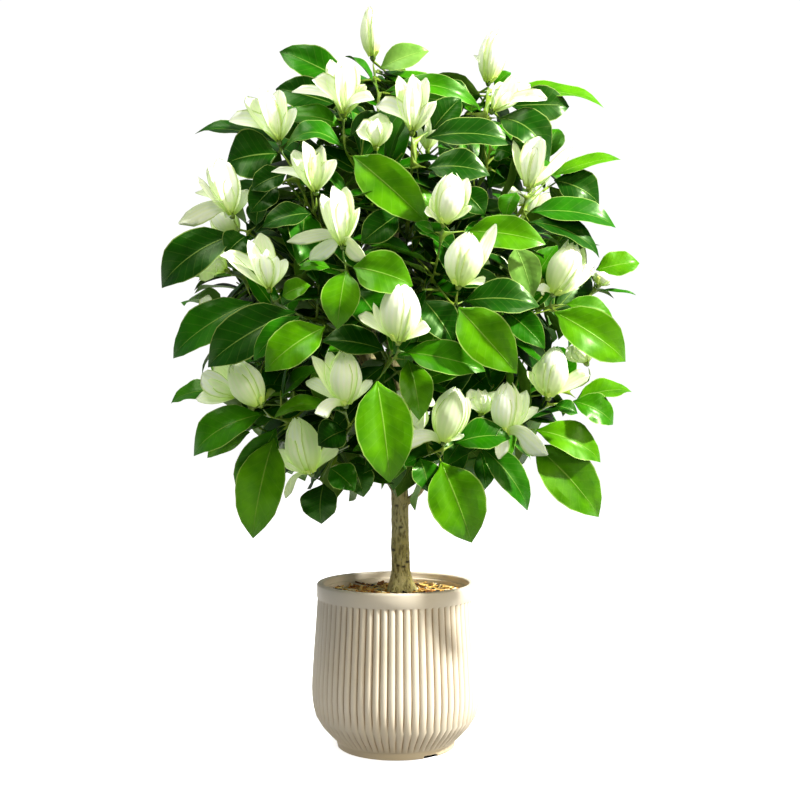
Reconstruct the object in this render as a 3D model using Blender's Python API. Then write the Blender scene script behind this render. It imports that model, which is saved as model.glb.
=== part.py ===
# Potted white champaca: a ribbed pot, soil, chip mulch, the woody trunk, leafy shoots and blooms.
# Metres, +Z up. The origin is on the pot's axis, at the underside of its foot ring.

import math
import random

import bmesh
import bpy
from mathutils import Matrix, Vector
from mathutils.bvhtree import BVHTree

# Gap that neighbouring pieces keep
SEAT_GAP = 0.0003

# Pot: smooth rim band, ribbed belly, plain foot ring
RIB_COUNT = 68
RIB_DEPTH = 0.0022
RIM_RADIUS = 0.100
RIM_HEIGHT = 0.205
BAND_HEIGHT = 0.018
LIP_INNER_RADIUS = 0.0915
LEDGE_RADIUS = 0.0890
LEDGE_DROP = 0.008
BELLY_RADIUS = 0.1063
BELLY_HEIGHT = 0.072
FOOT_RADIUS = 0.0747
FOOT_HEIGHT = 0.0085
FOOT_RING_WIDTH = 0.005
WALL = 0.0045
FLOOR_HEIGHT = 0.007
DRAIN_RADIUS = 0.008
NOTCH_COUNT = 3
NOTCH_ANGLE = math.radians(-55)
NOTCH_SIZE = (0.020, 0.012, 0.0036)

# Soil and mulch inside the pot
SOIL_HEIGHT = 0.182
MULCH_BASE = 0.005
CHIP_COUNT = 30
CHIP_LENGTH = 0.021
CHIP_WIDTH = 0.009
CHIP_THICKNESS = 0.0035

# Eye from which the crown is laid out: a pixel of an 800-pixel square view, as metres on the pot's axis
PIXEL = 0.001266
EYE = Vector((0.005, -1.55, 0.435))
MIDDLE_PIXEL = 400

# Crown: its middle and half sizes in the view's pixels, and how far it comes forward of the pot's axis
CROWN_MIDDLE = (400, 290)
CROWN_HALF = (245, 262)
CROWN_DEPTH = 0.245
HEART = Vector((0.0, 0.0, 0.500))

# Wood: points of each limb and the radius there
TRUNK = [
    ((0.0075, 0.0, 0.130), 0.0120),
    ((0.0075, 0.0, 0.178), 0.0135),
    ((0.0070, 0.0, 0.192), 0.0150),
    ((0.0060, 0.0, 0.218), 0.0118),
    ((0.0050, 0.0, 0.300), 0.0106),
    ((0.0035, 0.0, 0.400), 0.0102),
    ((-0.0030, 0.0, 0.470), 0.0085),
    ((-0.0060, 0.010, 0.560), 0.0062),
    ((0.0000, 0.020, 0.660), 0.0040),
]
LIMBS = [
    [((0.003, 0.0, 0.420), 0.0075), ((0.030, -0.030, 0.520), 0.0055), ((0.040, -0.055, 0.610), 0.0038)],
    [((0.001, 0.0, 0.415), 0.0070), ((-0.050, -0.035, 0.500), 0.0052), ((-0.085, -0.060, 0.580), 0.0036)],
    [((0.003, 0.0, 0.395), 0.0068), ((0.070, -0.010, 0.460), 0.0050), ((0.120, -0.015, 0.530), 0.0036)],
    [((0.002, 0.0, 0.385), 0.0062), ((-0.055, -0.010, 0.420), 0.0046), ((-0.105, -0.025, 0.455), 0.0034)],
    [((0.003, 0.0, 0.405), 0.0068), ((0.015, 0.060, 0.470), 0.0050), ((0.040, 0.105, 0.550), 0.0036)],
    [((-0.002, 0.0, 0.440), 0.0066), ((-0.050, 0.050, 0.520), 0.0048), ((-0.080, 0.080, 0.600), 0.0034)],
    [((0.003, 0.0, 0.375), 0.0056), ((0.010, -0.024, 0.392), 0.0046), ((0.011, -0.044, 0.411), 0.0038)],
    [((0.005, 0.0, 0.300), 0.0052), ((0.030, -0.012, 0.320), 0.0040), ((0.046, -0.030, 0.348), 0.0034)],
    [((0.002, 0.0, 0.318), 0.0050), ((-0.011, -0.002, 0.333), 0.0034), ((-0.018, -0.003, 0.342), 0.0024)],
]
TRUNK_SIDES = 8
BRANCHLET_RADIUS = (0.0036, 0.0028)
# Share of the way from the crown's heart to a shoot's head at which the wood ends and the green stem begins
SEAT_REACH = 0.52

# Green stems: radius at the start and the end, where along its main stem a further one may leave, and how steeply
TWIG_RADIUS = (0.0024, 0.0019)
PEDICEL_RADIUS = (0.0018, 0.0016)
FORK_SHARES = (0.35, 0.45, 0.55, 0.62, 0.70, 0.78, 0.86)
FORK_ANGLE = 0.9

# Along a stem: half height of the face that a leaf grows from, least step between two, longest bare run
NODE_HALF = 0.0012
NODE_STEP = 0.0050
LONGEST_RUN = 0.045

# Leaf: rib thickness, petiole, angle by which each half lifts from the rib
LEAF_THICKNESS = 0.0015
PETIOLE_HALF = 0.0013
PETIOLE_LENGTH = 0.0085
LEAF_FOLD = math.radians(22)

# Petal: thickness of its rib, then the trials that clear it of its neighbours, each a share of its width,
# a turn of its face to the near side and metres deeper
PETAL_THICKNESS = 0.0016
PETAL_TRIALS = [(width, turn, step) for width in (1.1, 0.85, 0.6) for turn in (1.4, 0.7, 0.2)
                for step in (0.0, 0.004, -0.004, 0.008, -0.008, 0.012, -0.012, 0.017, -0.017)]
# Pistil of an open bloom: radius and length. A core this wide or wider, in mm, is a closed bud with lapped petals
PISTIL = (0.0020, 0.009)
BUD_CORE = 8.0
LAPPED_PETALS = 4
# Receptacle: radius at its foot, its widest radius and its height
RECEPTACLE = (0.0022, 0.0038, 0.0085)

# Shoots. head: where the shoot's leaves gather, as (pixel across, pixel down, millimetres behind the
# crown's front). stems: (bloom or None, points on the way); a stem with no bloom ends at its last point.
SHOOTS = {
    "shoot_01": dict(head=(366, 178, 62), stems=[("bloom_01", (379, 112, 50)), ("bloom_04", (346, 152, 42))]),
    "shoot_02": dict(head=(412, 196, 58), stems=[("bloom_05", (411, 165, 42)), ("bloom_06", (392, 168, 50))]),
    "shoot_03": dict(head=(492, 165, 50), stems=[("bloom_02", (486, 112, 40)), ("bloom_03", (492, 132, 32))]),
    "shoot_04": dict(head=(302, 198, 52), stems=[("bloom_07", (291, 163, 34)), ("bloom_08", (316, 207, 34))]),
    "shoot_05": dict(head=(262, 248, 50), stems=[("bloom_09", (248, 232, 30)), ("bloom_12",)]),
    "shoot_06": dict(head=(302, 318, 42), stems=[("bloom_11", (280, 302, 26)), ("bloom_13", (246, 326, 40))]),
    "shoot_07": dict(head=(352, 292, 42), stems=[("bloom_10", (347, 268, 24))]),
    "shoot_08": dict(head=(436, 272, 48), stems=[("bloom_14", (441, 245, 28)), ("bloom_15", (452, 304, 28))]),
    "shoot_09": dict(head=(384, 374, 40), stems=[("bloom_16", (393, 359, 22)), ("bloom_24", (352, 424, 30)),
                                                  ("bloom_28", (410, 384, 56))]),
    "shoot_10": dict(head=(520, 228, 52), stems=[("bloom_17",)]),
    "shoot_11": dict(head=(533, 320, 44), stems=[("bloom_18", (546, 308, 26)), ("bloom_19", (585, 300, 30))]),
    "shoot_12": dict(head=(528, 432, 44), stems=[("bloom_20", (543, 412, 28)), ("bloom_30", (584, 386, 52))]),
    "shoot_13": dict(head=(492, 452, 48), stems=[("bloom_22", (502, 446, 24)), ("bloom_29", (480, 432, 70))]),
    "shoot_14": dict(head=(430, 458, 40), stems=[("bloom_23", (439, 455, 22))]),
    "shoot_15": dict(head=(330, 470, 38), stems=[("bloom_27", (320, 479, 24))]),
    "shoot_16": dict(head=(284, 430, 34), stems=[("bloom_25", (272, 417, 24)), ("bloom_26", (256, 404, 52))]),
}

# Shoots of the far side: direction of the head from the crown's heart as (turn, rise) in degrees,
# and the direction of each further stem that carries leaves or a bloom
FAR_SHOOTS = {
    "shoot_17": dict(head=(20, 12), stems=[("bloom_31", (28, 26)), (None, (4, 2)), (None, (26, -8))]),
    "shoot_18": dict(head=(60, -4), stems=[("bloom_32", (52, 8)), (None, (76, -12)), (None, (42, -16))]),
    "shoot_19": dict(head=(112, -2), stems=[("bloom_33", (104, 10)), (None, (98, -16)), (None, (128, -12))]),
    "shoot_20": dict(head=(160, 8), stems=[("bloom_34", (166, 20)), (None, (150, -8)), (None, (172, -2))]),
    "shoot_21": dict(head=(70, 42), stems=[("bloom_35", (66, 58)), (None, (40, 40)), (None, (92, 34))]),
    "shoot_22": dict(head=(128, 46), stems=[(None, (136, 60)), (None, (152, 40)), (None, (112, 30))]),
}
FAR_REACH = (0.262, 0.243, 0.290)
FAR_MIDDLE = Vector((-0.006, 0.0, 0.560))

# Blooms of the near side. base and tip: (pixel across, pixel down); back: millimetres of the base behind
# the crown's front; away: millimetres of the tip further back than the base; core: half width of the
# closed middle in millimetres; petals: (tip across, tip down, millimetres further back, half width in mm)
BLOOMS = {
    "bloom_01": dict(base=(373, 61), back=36, tip=(369, 5), away=-4, core=9.5, petals=[]),
    "bloom_02": dict(base=(488, 86), back=30, tip=(496, 34), away=4, core=5.5, petals=[
        (474, 55, -4, 2.4), (484, 42, -7, 5.0), (503, 46, 0, 4.5), (493, 38, 8, 5.0)]),
    "bloom_03": dict(base=(490, 114), back=20, tip=(515, 84), away=2, core=5.0, petals=[
        (514, 76, -6, 7.5), (530, 84, 2, 7.0), (543, 98, 0, 5.5), (495, 90, -15, 7.5), (506, 84, 9, 6.5)]),
    "bloom_04": dict(base=(344, 118), back=22, tip=(344, 72), away=-2, core=5.5, petals=[
        (330, 60, 2, 6.0), (343, 56, -8, 7.5), (354, 66, 8, 6.0), (314, 81, -6, 7.5), (296, 93, -2, 5.5),
        (362, 84, 4, 6.0), (371, 101, -8, 5.5)]),
    "bloom_05": dict(base=(412, 136), back=22, tip=(414, 92), away=-2, core=4.5, petals=[
        (399, 76, 2, 5.0), (413, 75, -7, 5.5), (427, 78, -3, 5.5), (435, 101, -8, 5.0), (444, 126, -5, 5.0),
        (376, 106, -6, 6.5), (404, 84, 10, 5.0)]),
    "bloom_06": dict(base=(376, 151), back=26, tip=(374, 122), away=-4, core=4.5, petals=[
        (356, 131, -7, 7.5), (379, 113, 3, 7.5), (389, 121, -5, 6.5), (407, 142, -9, 4.0)]),
    "bloom_07": dict(base=(280, 145), back=18, tip=(268, 100), away=0, core=6.0, petals=[
        (247, 96, 2, 6.5), (259, 88, -7, 7.0), (278, 90, 1, 7.5), (291, 109, 7, 5.0), (230, 122, -5, 6.5),
        (297, 119, -5, 4.0)]),
    "bloom_08": dict(base=(316, 196), back=22, tip=(314, 156), away=0, core=5.5, petals=[
        (294, 150, 3, 6.0), (305, 141, -6, 6.5), (321, 145, -5, 6.0), (331, 160, 4, 6.0), (273, 171, -6, 3.0),
        (282, 196, -10, 3.5), (290, 170, 8, 5.0)]),
    "bloom_09": dict(base=(233, 219), back=14, tip=(224, 176), away=2, core=6.0, petals=[
        (208, 166, 2, 5.5), (219, 158, -6, 7.0), (237, 178, -4, 5.5), (246, 189, 8, 5.5), (198, 176, -7, 2.6),
        (178, 223, -8, 7.0), (196, 192, 5, 2.6)]),
    "bloom_10": dict(base=(343, 250), back=14, tip=(340, 205), away=-2, core=5.5, petals=[
        (322, 194, -2, 5.5), (334, 186, -8, 7.0), (346, 187, 1, 6.5), (356, 208, 7, 5.5), (288, 242, -4, 4.5),
        (332, 268, -12, 8.5), (314, 260, 2, 7.5), (366, 260, -8, 6.5)]),
    "bloom_11": dict(base=(270, 293), back=14, tip=(262, 252), away=0, core=5.5, petals=[
        (248, 240, -4, 5.5), (260, 233, 4, 7.0), (277, 256, -6, 6.5), (286, 259, 2, 4.5), (220, 255, -6, 4.5),
        (229, 251, 5, 4.5), (226, 287, -3, 3.0)]),
    "bloom_12": dict(base=(230, 272), back=22, tip=(202, 256), away=4, core=6.0, petals=[
        (207, 233, 2, 7.5), (190, 243, -7, 7.0), (184, 262, -10, 7.5), (205, 282, -6, 7.0), (182, 250, 8, 5.5)]),
    "bloom_13": dict(base=(224, 324), back=26, tip=(204, 318), away=0, core=4.5, petals=[
        (209, 295, 2, 5.5), (192, 313, -6, 7.0), (188, 335, -3, 7.5), (206, 304, -12, 7.0), (234, 312, -9, 5.5)]),
    "bloom_14": dict(base=(443, 228), back=14, tip=(454, 171), away=-3, core=14.5, petals=[
        (467, 178, 2, 6.0), (435, 194, -4, 4.5), (472, 206, -9, 2.8), (425, 212, -8, 3.5)]),
    "bloom_15": dict(base=(458, 290), back=12, tip=(470, 230), away=-3, core=16.5, petals=[
        (496, 224, 4, 5.0), (484, 284, -10, 3.5)]),
    "bloom_16": dict(base=(398, 346), back=8, tip=(402, 278), away=-3, core=18.0, petals=[
        (358, 316, -6, 4.5), (374, 303, -4, 3.0), (430, 328, -10, 5.5), (424, 315, 3, 3.5)]),
    "bloom_17": dict(base=(528, 192), back=18, tip=(534, 160), away=-2, core=5.5, petals=[
        (539, 136, -7, 8.0), (550, 166, 4, 5.0), (514, 140, -3, 3.2), (528, 143, 7, 5.0), (489, 163, -8, 7.0),
        (572, 147, -2, 3.8), (563, 191, -9, 3.0)]),
    "bloom_18": dict(base=(552, 298), back=12, tip=(572, 240), away=-3, core=15.5, petals=[
        (593, 265, 2, 7.0), (541, 276, -3, 5.0), (584, 248, 10, 6.0), (537, 291, -9, 4.5), (588, 302, -9, 5.0)]),
    "bloom_19": dict(base=(597, 288), back=24, tip=(606, 272), away=0, core=8.0, petals=[]),
    "bloom_20": dict(base=(548, 401), back=14, tip=(556, 344), away=-3, core=15.0, petals=[
        (539, 361, 4, 6.0), (527, 371, -4, 3.0), (590, 376, -9, 6.0)]),
    "bloom_22": dict(base=(506, 437), back=12, tip=(506, 380), away=-3, core=14.0, petals=[
        (526, 390, 4, 6.5), (539, 408, -4, 3.5), (542, 455, -12, 8.0), (542, 436, -2, 5.0), (499, 459, -9, 6.0)]),
    "bloom_23": dict(base=(443, 446), back=10, tip=(451, 384), away=-3, core=15.5, petals=[
        (467, 397, 4, 6.0), (393, 443, -10, 7.0), (427, 433, -4, 3.0), (463, 434, -8, 3.0)]),
    "bloom_24": dict(base=(346, 409), back=12, tip=(344, 348), away=-3, core=14.5, petals=[
        (329, 349, 4, 5.5), (315, 356, 2, 5.0), (310, 381, -4, 5.0), (318, 413, -9, 6.5), (372, 380, 4, 3.5)]),
    "bloom_25": dict(base=(262, 408), back=8, tip=(235, 359), away=-3, core=15.5, petals=[
        (271, 388, 6, 5.0)]),
    "bloom_26": dict(base=(240, 398), back=44, tip=(214, 382), away=2, core=4.5, petals=[
        (202, 374, -2, 7.5), (216, 362, 4, 6.5), (196, 398, -6, 6.0), (225, 348, 9, 6.5)]),
    "bloom_27": dict(base=(312, 477), back=8, tip=(294, 415), away=-3, core=16.5, petals=[
        (275, 449, -5, 5.0), (338, 449, -8, 6.0), (284, 463, -9, 2.8), (288, 498, -3, 3.2)]),
    "bloom_28": dict(base=(421, 396), back=52, tip=(418, 416), away=-6, core=3.5, petals=[
        (401, 392, -4, 6.5), (420, 430, -9, 7.0), (433, 402, 0, 6.0)]),
    "bloom_29": dict(base=(481, 418), back=58, tip=(482, 402), away=-2, core=4.0, petals=[
        (471, 389, 0, 6.0), (497, 391, -4, 5.5), (469, 406, -6, 5.0)]),
    "bloom_30": dict(base=(588, 366), back=46, tip=(581, 356), away=-4, core=3.5, petals=[
        (568, 347, 0, 6.0), (585, 348, -6, 5.0), (597, 356, 3, 4.5)]),
}
FAR_BLOOM_LENGTH = 0.062
FAR_BLOOMS = {
    "bloom_31": dict(core=5.5, petals=7),
    "bloom_32": dict(core=14.0, petals=3),
    "bloom_33": dict(core=5.5, petals=7),
    "bloom_34": dict(core=15.0, petals=3),
    "bloom_35": dict(core=5.5, petals=7),
}

# Leaves of the near side: shoot, base (across, down, mm behind the crown's front), tip (across, down,
# mm further back than the base), full width in mm, turn of the upper face from the eye towards the sky
# in degrees, arch in mm
LEAVES = [
    ("shoot_01", (346, 82, 48), (279, 50, 8), 44, 25, 6),
    ("shoot_01", (376, 84, 42), (345, 55, 4), 30, 78, 4),
    ("shoot_01", (377, 67, 40), (429, 50, 4), 34, 30, 6),
    ("shoot_01", (381, 88, 36), (483, 110, 6), 28, 35, 30),
    ("shoot_01", (334, 104, 44), (275, 88, 8), 42, 20, 5),
    ("shoot_01", (342, 126, 40), (284, 117, 4), 32, 40, 8),
    ("shoot_01", (344, 148, 30), (283, 150, 2), 40, 45, 22),
    ("shoot_01", (350, 136, 30), (381, 112, 6), 26, 10, 4),
    ("shoot_01", (353, 156, 16), (428, 223, -18), 52, 8, 8),
    ("shoot_02", (432, 130, 36), (461, 98, 2), 34, 15, 6),
    ("shoot_02", (426, 138, 26), (516, 143, 4), 42, 42, 12),
    ("shoot_02", (428, 168, 20), (490, 174, -4), 42, 35, 8),
    ("shoot_02", (420, 186, 34), (424, 222, -6), 30, 30, 4),
    ("shoot_03", (462, 112, 42), (443, 78, 8), 34, 40, 6),
    ("shoot_03", (508, 92, 38), (605, 104, 8), 38, 66, 8),
    ("shoot_03", (512, 106, 34), (570, 106, 10), 44, 15, 6),
    ("shoot_03", (498, 118, 18), (550, 161, -8), 50, 35, 22),
    ("shoot_03", (494, 86, 34), (511, 72, 2), 18, 30, 2),
    ("shoot_03", (496, 150, 34), (512, 154, -10), 30, 20, 4),
    ("shoot_04", (276, 142, 30), (194, 131, 10), 34, 62, 8),
    ("shoot_04", (286, 154, 28), (226, 163, 8), 60, 22, 8),
    ("shoot_04", (290, 172, 18), (251, 190, -4), 32, 30, 6),
    ("shoot_04", (277, 184, 22), (250, 212, -8), 36, 25, 3),
    ("shoot_04", (322, 212, 26), (262, 226, -6), 34, 40, 6),
    ("shoot_04", (300, 130, 38), (286, 106, 6), 30, 20, 3),
    ("shoot_05", (238, 233, 24), (160, 287, 10), 56, 30, 16),
    ("shoot_05", (262, 296, 36), (171, 357, 14), 52, 34, 14),
    ("shoot_05", (246, 236, 22), (226, 254, -8), 36, 30, 4),
    ("shoot_05", (232, 276, 34), (178, 277, 8), 24, 60, 3),
    ("shoot_05", (256, 226, 34), (262, 196, 4), 26, 30, 3),
    ("shoot_06", (276, 299, 20), (210, 354, 0), 26, 20, 8),
    ("shoot_06", (296, 312, 24), (206, 366, 8), 60, 28, 12),
    ("shoot_06", (300, 316, 14), (253, 360, -8), 30, 25, 8),
    ("shoot_06", (340, 316, 8), (264, 371, -6), 48, 22, 8),
    ("shoot_06", (282, 296, 16), (310, 285, -8), 26, 30, 4),
    ("shoot_07", (346, 271, 10), (337, 329, -8), 42, 8, 8),
    ("shoot_07", (353, 267, 16), (413, 285, -6), 50, 20, 8),
    ("shoot_07", (399, 214, 40), (361, 243, -6), 36, 15, 5),
    ("shoot_07", (356, 290, 34), (384, 330, -8), 46, 15, 6),
    ("shoot_07", (330, 268, 34), (299, 269, -2), 22, 40, 4),
    ("shoot_08", (467, 231, 14), (546, 243, 0), 42, 26, 6),
    ("shoot_08", (462, 190, 32), (485, 214, -6), 34, 20, 4),
    ("shoot_08", (434, 232, 20), (415, 223, -4), 14, 30, 1),
    ("shoot_08", (452, 305, 8), (517, 373, -16), 54, 6, 8),
    ("shoot_08", (464, 301, 22), (540, 305, 0), 46, 35, 8),
    ("shoot_08", (424, 300, 26), (454, 344, -8), 42, 20, 5),
    ("shoot_09", (406, 352, 10), (486, 370, -6), 40, 24, 8),
    ("shoot_09", (408, 360, 24), (420, 420, -10), 38, 18, 8),
    ("shoot_09", (377, 381, 4), (390, 483, -14), 62, 4, 10),
    ("shoot_09", (332, 408, 20), (273, 417, -4), 26, 48, 12),
    ("shoot_09", (384, 350, 32), (322, 340, -4), 42, 40, 6),
    ("shoot_09", (346, 430, 28), (318, 445, -8), 40, 25, 5),
    ("shoot_10", (531, 212, 24), (617, 225, 6), 44, 50, 10),
    ("shoot_10", (552, 176, 30), (621, 157, 10), 28, 55, 5),
    ("shoot_10", (554, 180, 26), (600, 204, 6), 46, 30, 10),
    ("shoot_10", (530, 222, 18), (601, 256, 6), 36, 40, 12),
    ("shoot_10", (519, 186, 26), (506, 218, -6), 28, 15, 4),
    ("shoot_10", (545, 160, 36), (558, 128, 6), 40, 30, 5),
    ("shoot_11", (596, 270, 32), (640, 262, 8), 34, 30, 4),
    ("shoot_11", (548, 306, 14), (627, 361, 4), 54, 20, 12),
    ("shoot_11", (566, 304, 24), (614, 318, 8), 30, 40, 5),
    ("shoot_11", (515, 246, 24), (533, 297, -8), 36, 10, 5),
    ("shoot_11", (503, 309, 20), (545, 348, -8), 34, 18, 5),
    ("shoot_11", (600, 290, 26), (637, 294, 6), 8, 60, 1),
    ("shoot_12", (577, 399, 24), (632, 390, 8), 38, 52, 5),
    ("shoot_12", (573, 401, 20), (614, 424, 6), 38, 30, 9),
    ("shoot_12", (552, 402, 14), (578, 413, 2), 22, 40, 2),
    ("shoot_12", (536, 430, 26), (602, 461, 8), 46, 34, 12),
    ("shoot_12", (534, 444, 14), (600, 517, -2), 60, 14, 12),
    ("shoot_13", (480, 446, 22), (529, 510, -4), 38, 28, 12),
    ("shoot_13", (480, 452, 40), (486, 489, -4), 26, 20, 4),
    ("shoot_14", (455, 443, 24), (511, 437, 2), 44, 38, 8),
    ("shoot_14", (438, 453, 8), (472, 543, -8), 64, 4, 10),
    ("shoot_14", (418, 450, 20), (429, 492, -8), 34, 20, 4),
    ("shoot_15", (326, 479, 18), (321, 524, -6), 46, 20, 6),
    ("shoot_15", (330, 468, 14), (355, 490, -10), 36, 20, 5),
    ("shoot_15", (352, 462, 34), (364, 497, -4), 36, 20, 4),
    ("shoot_16", (274, 438, 14), (252, 539, -2), 56, 12, 10),
    ("shoot_16", (276, 428, 24), (240, 499, 4), 46, 26, 12),
    ("shoot_16", (262, 414, 22), (192, 455, 8), 50, 34, 16),
    ("shoot_16", (250, 432, 34), (206, 457, 8), 34, 40, 6),
    ("shoot_16", (222, 392, 44), (170, 402, 10), 34, 50, 8),
]
# Small moves of a near leaf: mm along the eye's line, turn in degrees, mm of the tip only, share of its length
LEAF_MOVES = [(0, 0, 0, 0), (0, 12, 0, 0), (8, 0, 0, 0), (0, -12, 0, 0), (-8, 0, 0, 0), (0, 0, -12, 0), (0, 0, 12, 0),
              (0, 0, 0, 0.1), (14, 14, 0, 0), (-12, -14, 0, 0), (0, 0, 0, 0.2), (20, 0, -12, 0), (14, -20, 12, 0),
              (24, 20, 0, 0.1), (6, 30, -16, 0.1), (30, 0, -20, 0.1), (30, -24, 10, 0.1), (-18, 20, 0, 0.2)]

# Leaves that a rule spreads along each shoot
FILL_PER_NEAR_SHOOT = 1
FILL_PER_FAR_STEM = 4
FILL_LENGTH = 0.088
FILL_ASPECT = 0.40
FILL_TRIES = 14
CROWN_LIMIT = (0.291, 0.264, 0.305)
GOLDEN_TURN = math.radians(137.5)


def clear_scene():
    for old in list(bpy.data.objects):
        bpy.data.objects.remove(old, do_unlink=True)


def make_material(name, colour, roughness):
    material = bpy.data.materials.new(name)
    material.use_nodes = True
    shader = material.node_tree.nodes["Principled BSDF"]
    shader.inputs["Base Color"].default_value = (*colour, 1.0)
    shader.inputs["Roughness"].default_value = roughness
    shader.inputs["Metallic"].default_value = 0.0
    return material


def make_object(name, points, faces, material=None):
    mesh = bpy.data.meshes.new(name)
    mesh.from_pydata([tuple(point) for point in points], [], faces)
    mesh.validate()
    thing = bpy.data.objects.new(name, mesh)
    bpy.context.scene.collection.objects.link(thing)
    if material:
        mesh.materials.append(material)
        mesh.shade_smooth()
        mesh.set_sharp_from_angle(angle=math.radians(40))
    return thing


def bake_modifiers(thing):
    """Replaces the object's mesh by what its modifiers make of it."""
    bpy.context.view_layer.update()
    graph = bpy.context.evaluated_depsgraph_get()
    baked = bpy.data.meshes.new_from_object(thing.evaluated_get(graph))
    thing.modifiers.clear()
    thing.data = baked


def fuse(name, pieces, material):
    """Joins closed pieces, each (points, faces), that reach into each other into one body."""
    body = make_object(name, *pieces[0], material)
    if len(pieces) > 1:
        group = bpy.data.collections.new(name + "_pieces")
        bpy.context.scene.collection.children.link(group)
        for number, piece in enumerate(pieces[1:]):
            part = make_object(f"{name}_{number}", *piece)
            bpy.context.scene.collection.objects.unlink(part)
            group.objects.link(part)
        union = body.modifiers.new("fused", "BOOLEAN")
        union.operation = "UNION"
        union.operand_type = "COLLECTION"
        union.collection = group
        bake_modifiers(body)
        for part in list(group.objects):
            bpy.data.objects.remove(part, do_unlink=True)
        bpy.data.collections.remove(group)
    return body


def cut(body, cutter):
    """Takes the cutter's space out of the body."""
    difference = body.modifiers.new("cut", "BOOLEAN")
    difference.operation = "DIFFERENCE"
    difference.object = cutter
    bake_modifiers(body)
    bpy.data.objects.remove(cutter, do_unlink=True)


def seen(across, down, depth):
    """The point that shows at this pixel, depth metres beyond the pot's axis."""
    scale = PIXEL * (depth - EYE.y) / -EYE.y
    return Vector((EYE.x + (across - MIDDLE_PIXEL) * scale, depth, EYE.z - (down - MIDDLE_PIXEL) * scale))


def crown_front(across, down):
    """Depth of the crown's near surface at this pixel."""
    reach = ((across - CROWN_MIDDLE[0]) / CROWN_HALF[0]) ** 2 + ((down - CROWN_MIDDLE[1]) / CROWN_HALF[1]) ** 2
    return -CROWN_DEPTH * math.sqrt(max(0.06, 1 - reach))


def behind_front(across, down, back):
    """The point at this pixel, back millimetres behind the crown's near surface."""
    return seen(across, down, crown_front(across, down) + back / 1000)


def smooth_path(points, steps):
    """Points along a smooth curve through the given ones, with steps between each pair."""
    path = []
    for number in range(len(points) - 1):
        start, end = points[number], points[number + 1]
        before = points[max(number - 1, 0)]
        after = points[min(number + 2, len(points) - 1)]
        for step in range(steps):
            t = step / steps
            lead, follow = (end - before) / 2, (after - start) / 2
            path.append(start * (2 * t**3 - 3 * t**2 + 1) + lead * (t**3 - 2 * t**2 + t)
                        + end * (3 * t**2 - 2 * t**3) + follow * (t**3 - t**2))
    return path + [points[-1]]


def across_of(direction):
    """A unit vector square to this one, as level as can be."""
    side = direction.cross(Vector((0, 0, 1)))
    return side.normalized() if side.length > 0.05 else direction.cross(Vector((1, 0, 0))).normalized()


def loft(sections, point=None):
    """A closed body through rings of points in order, with a flat first end and a flat or pointed last."""
    count = len(sections[0])
    points = [place for ring in sections for place in ring]
    faces = [tuple(range(count - 1, -1, -1))]
    for ring in range(len(sections) - 1):
        low, high = ring * count, (ring + 1) * count
        for side in range(count):
            after = (side + 1) % count
            faces += [(low + side, low + after, high + after), (low + side, high + after, high + side)]
    last = (len(sections) - 1) * count
    if point is None:
        faces.append(tuple(range(last, last + count)))
    else:
        points.append(point)
        faces += [(last + side, last + (side + 1) % count, len(points) - 1) for side in range(count)]
    return points, faces


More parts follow.
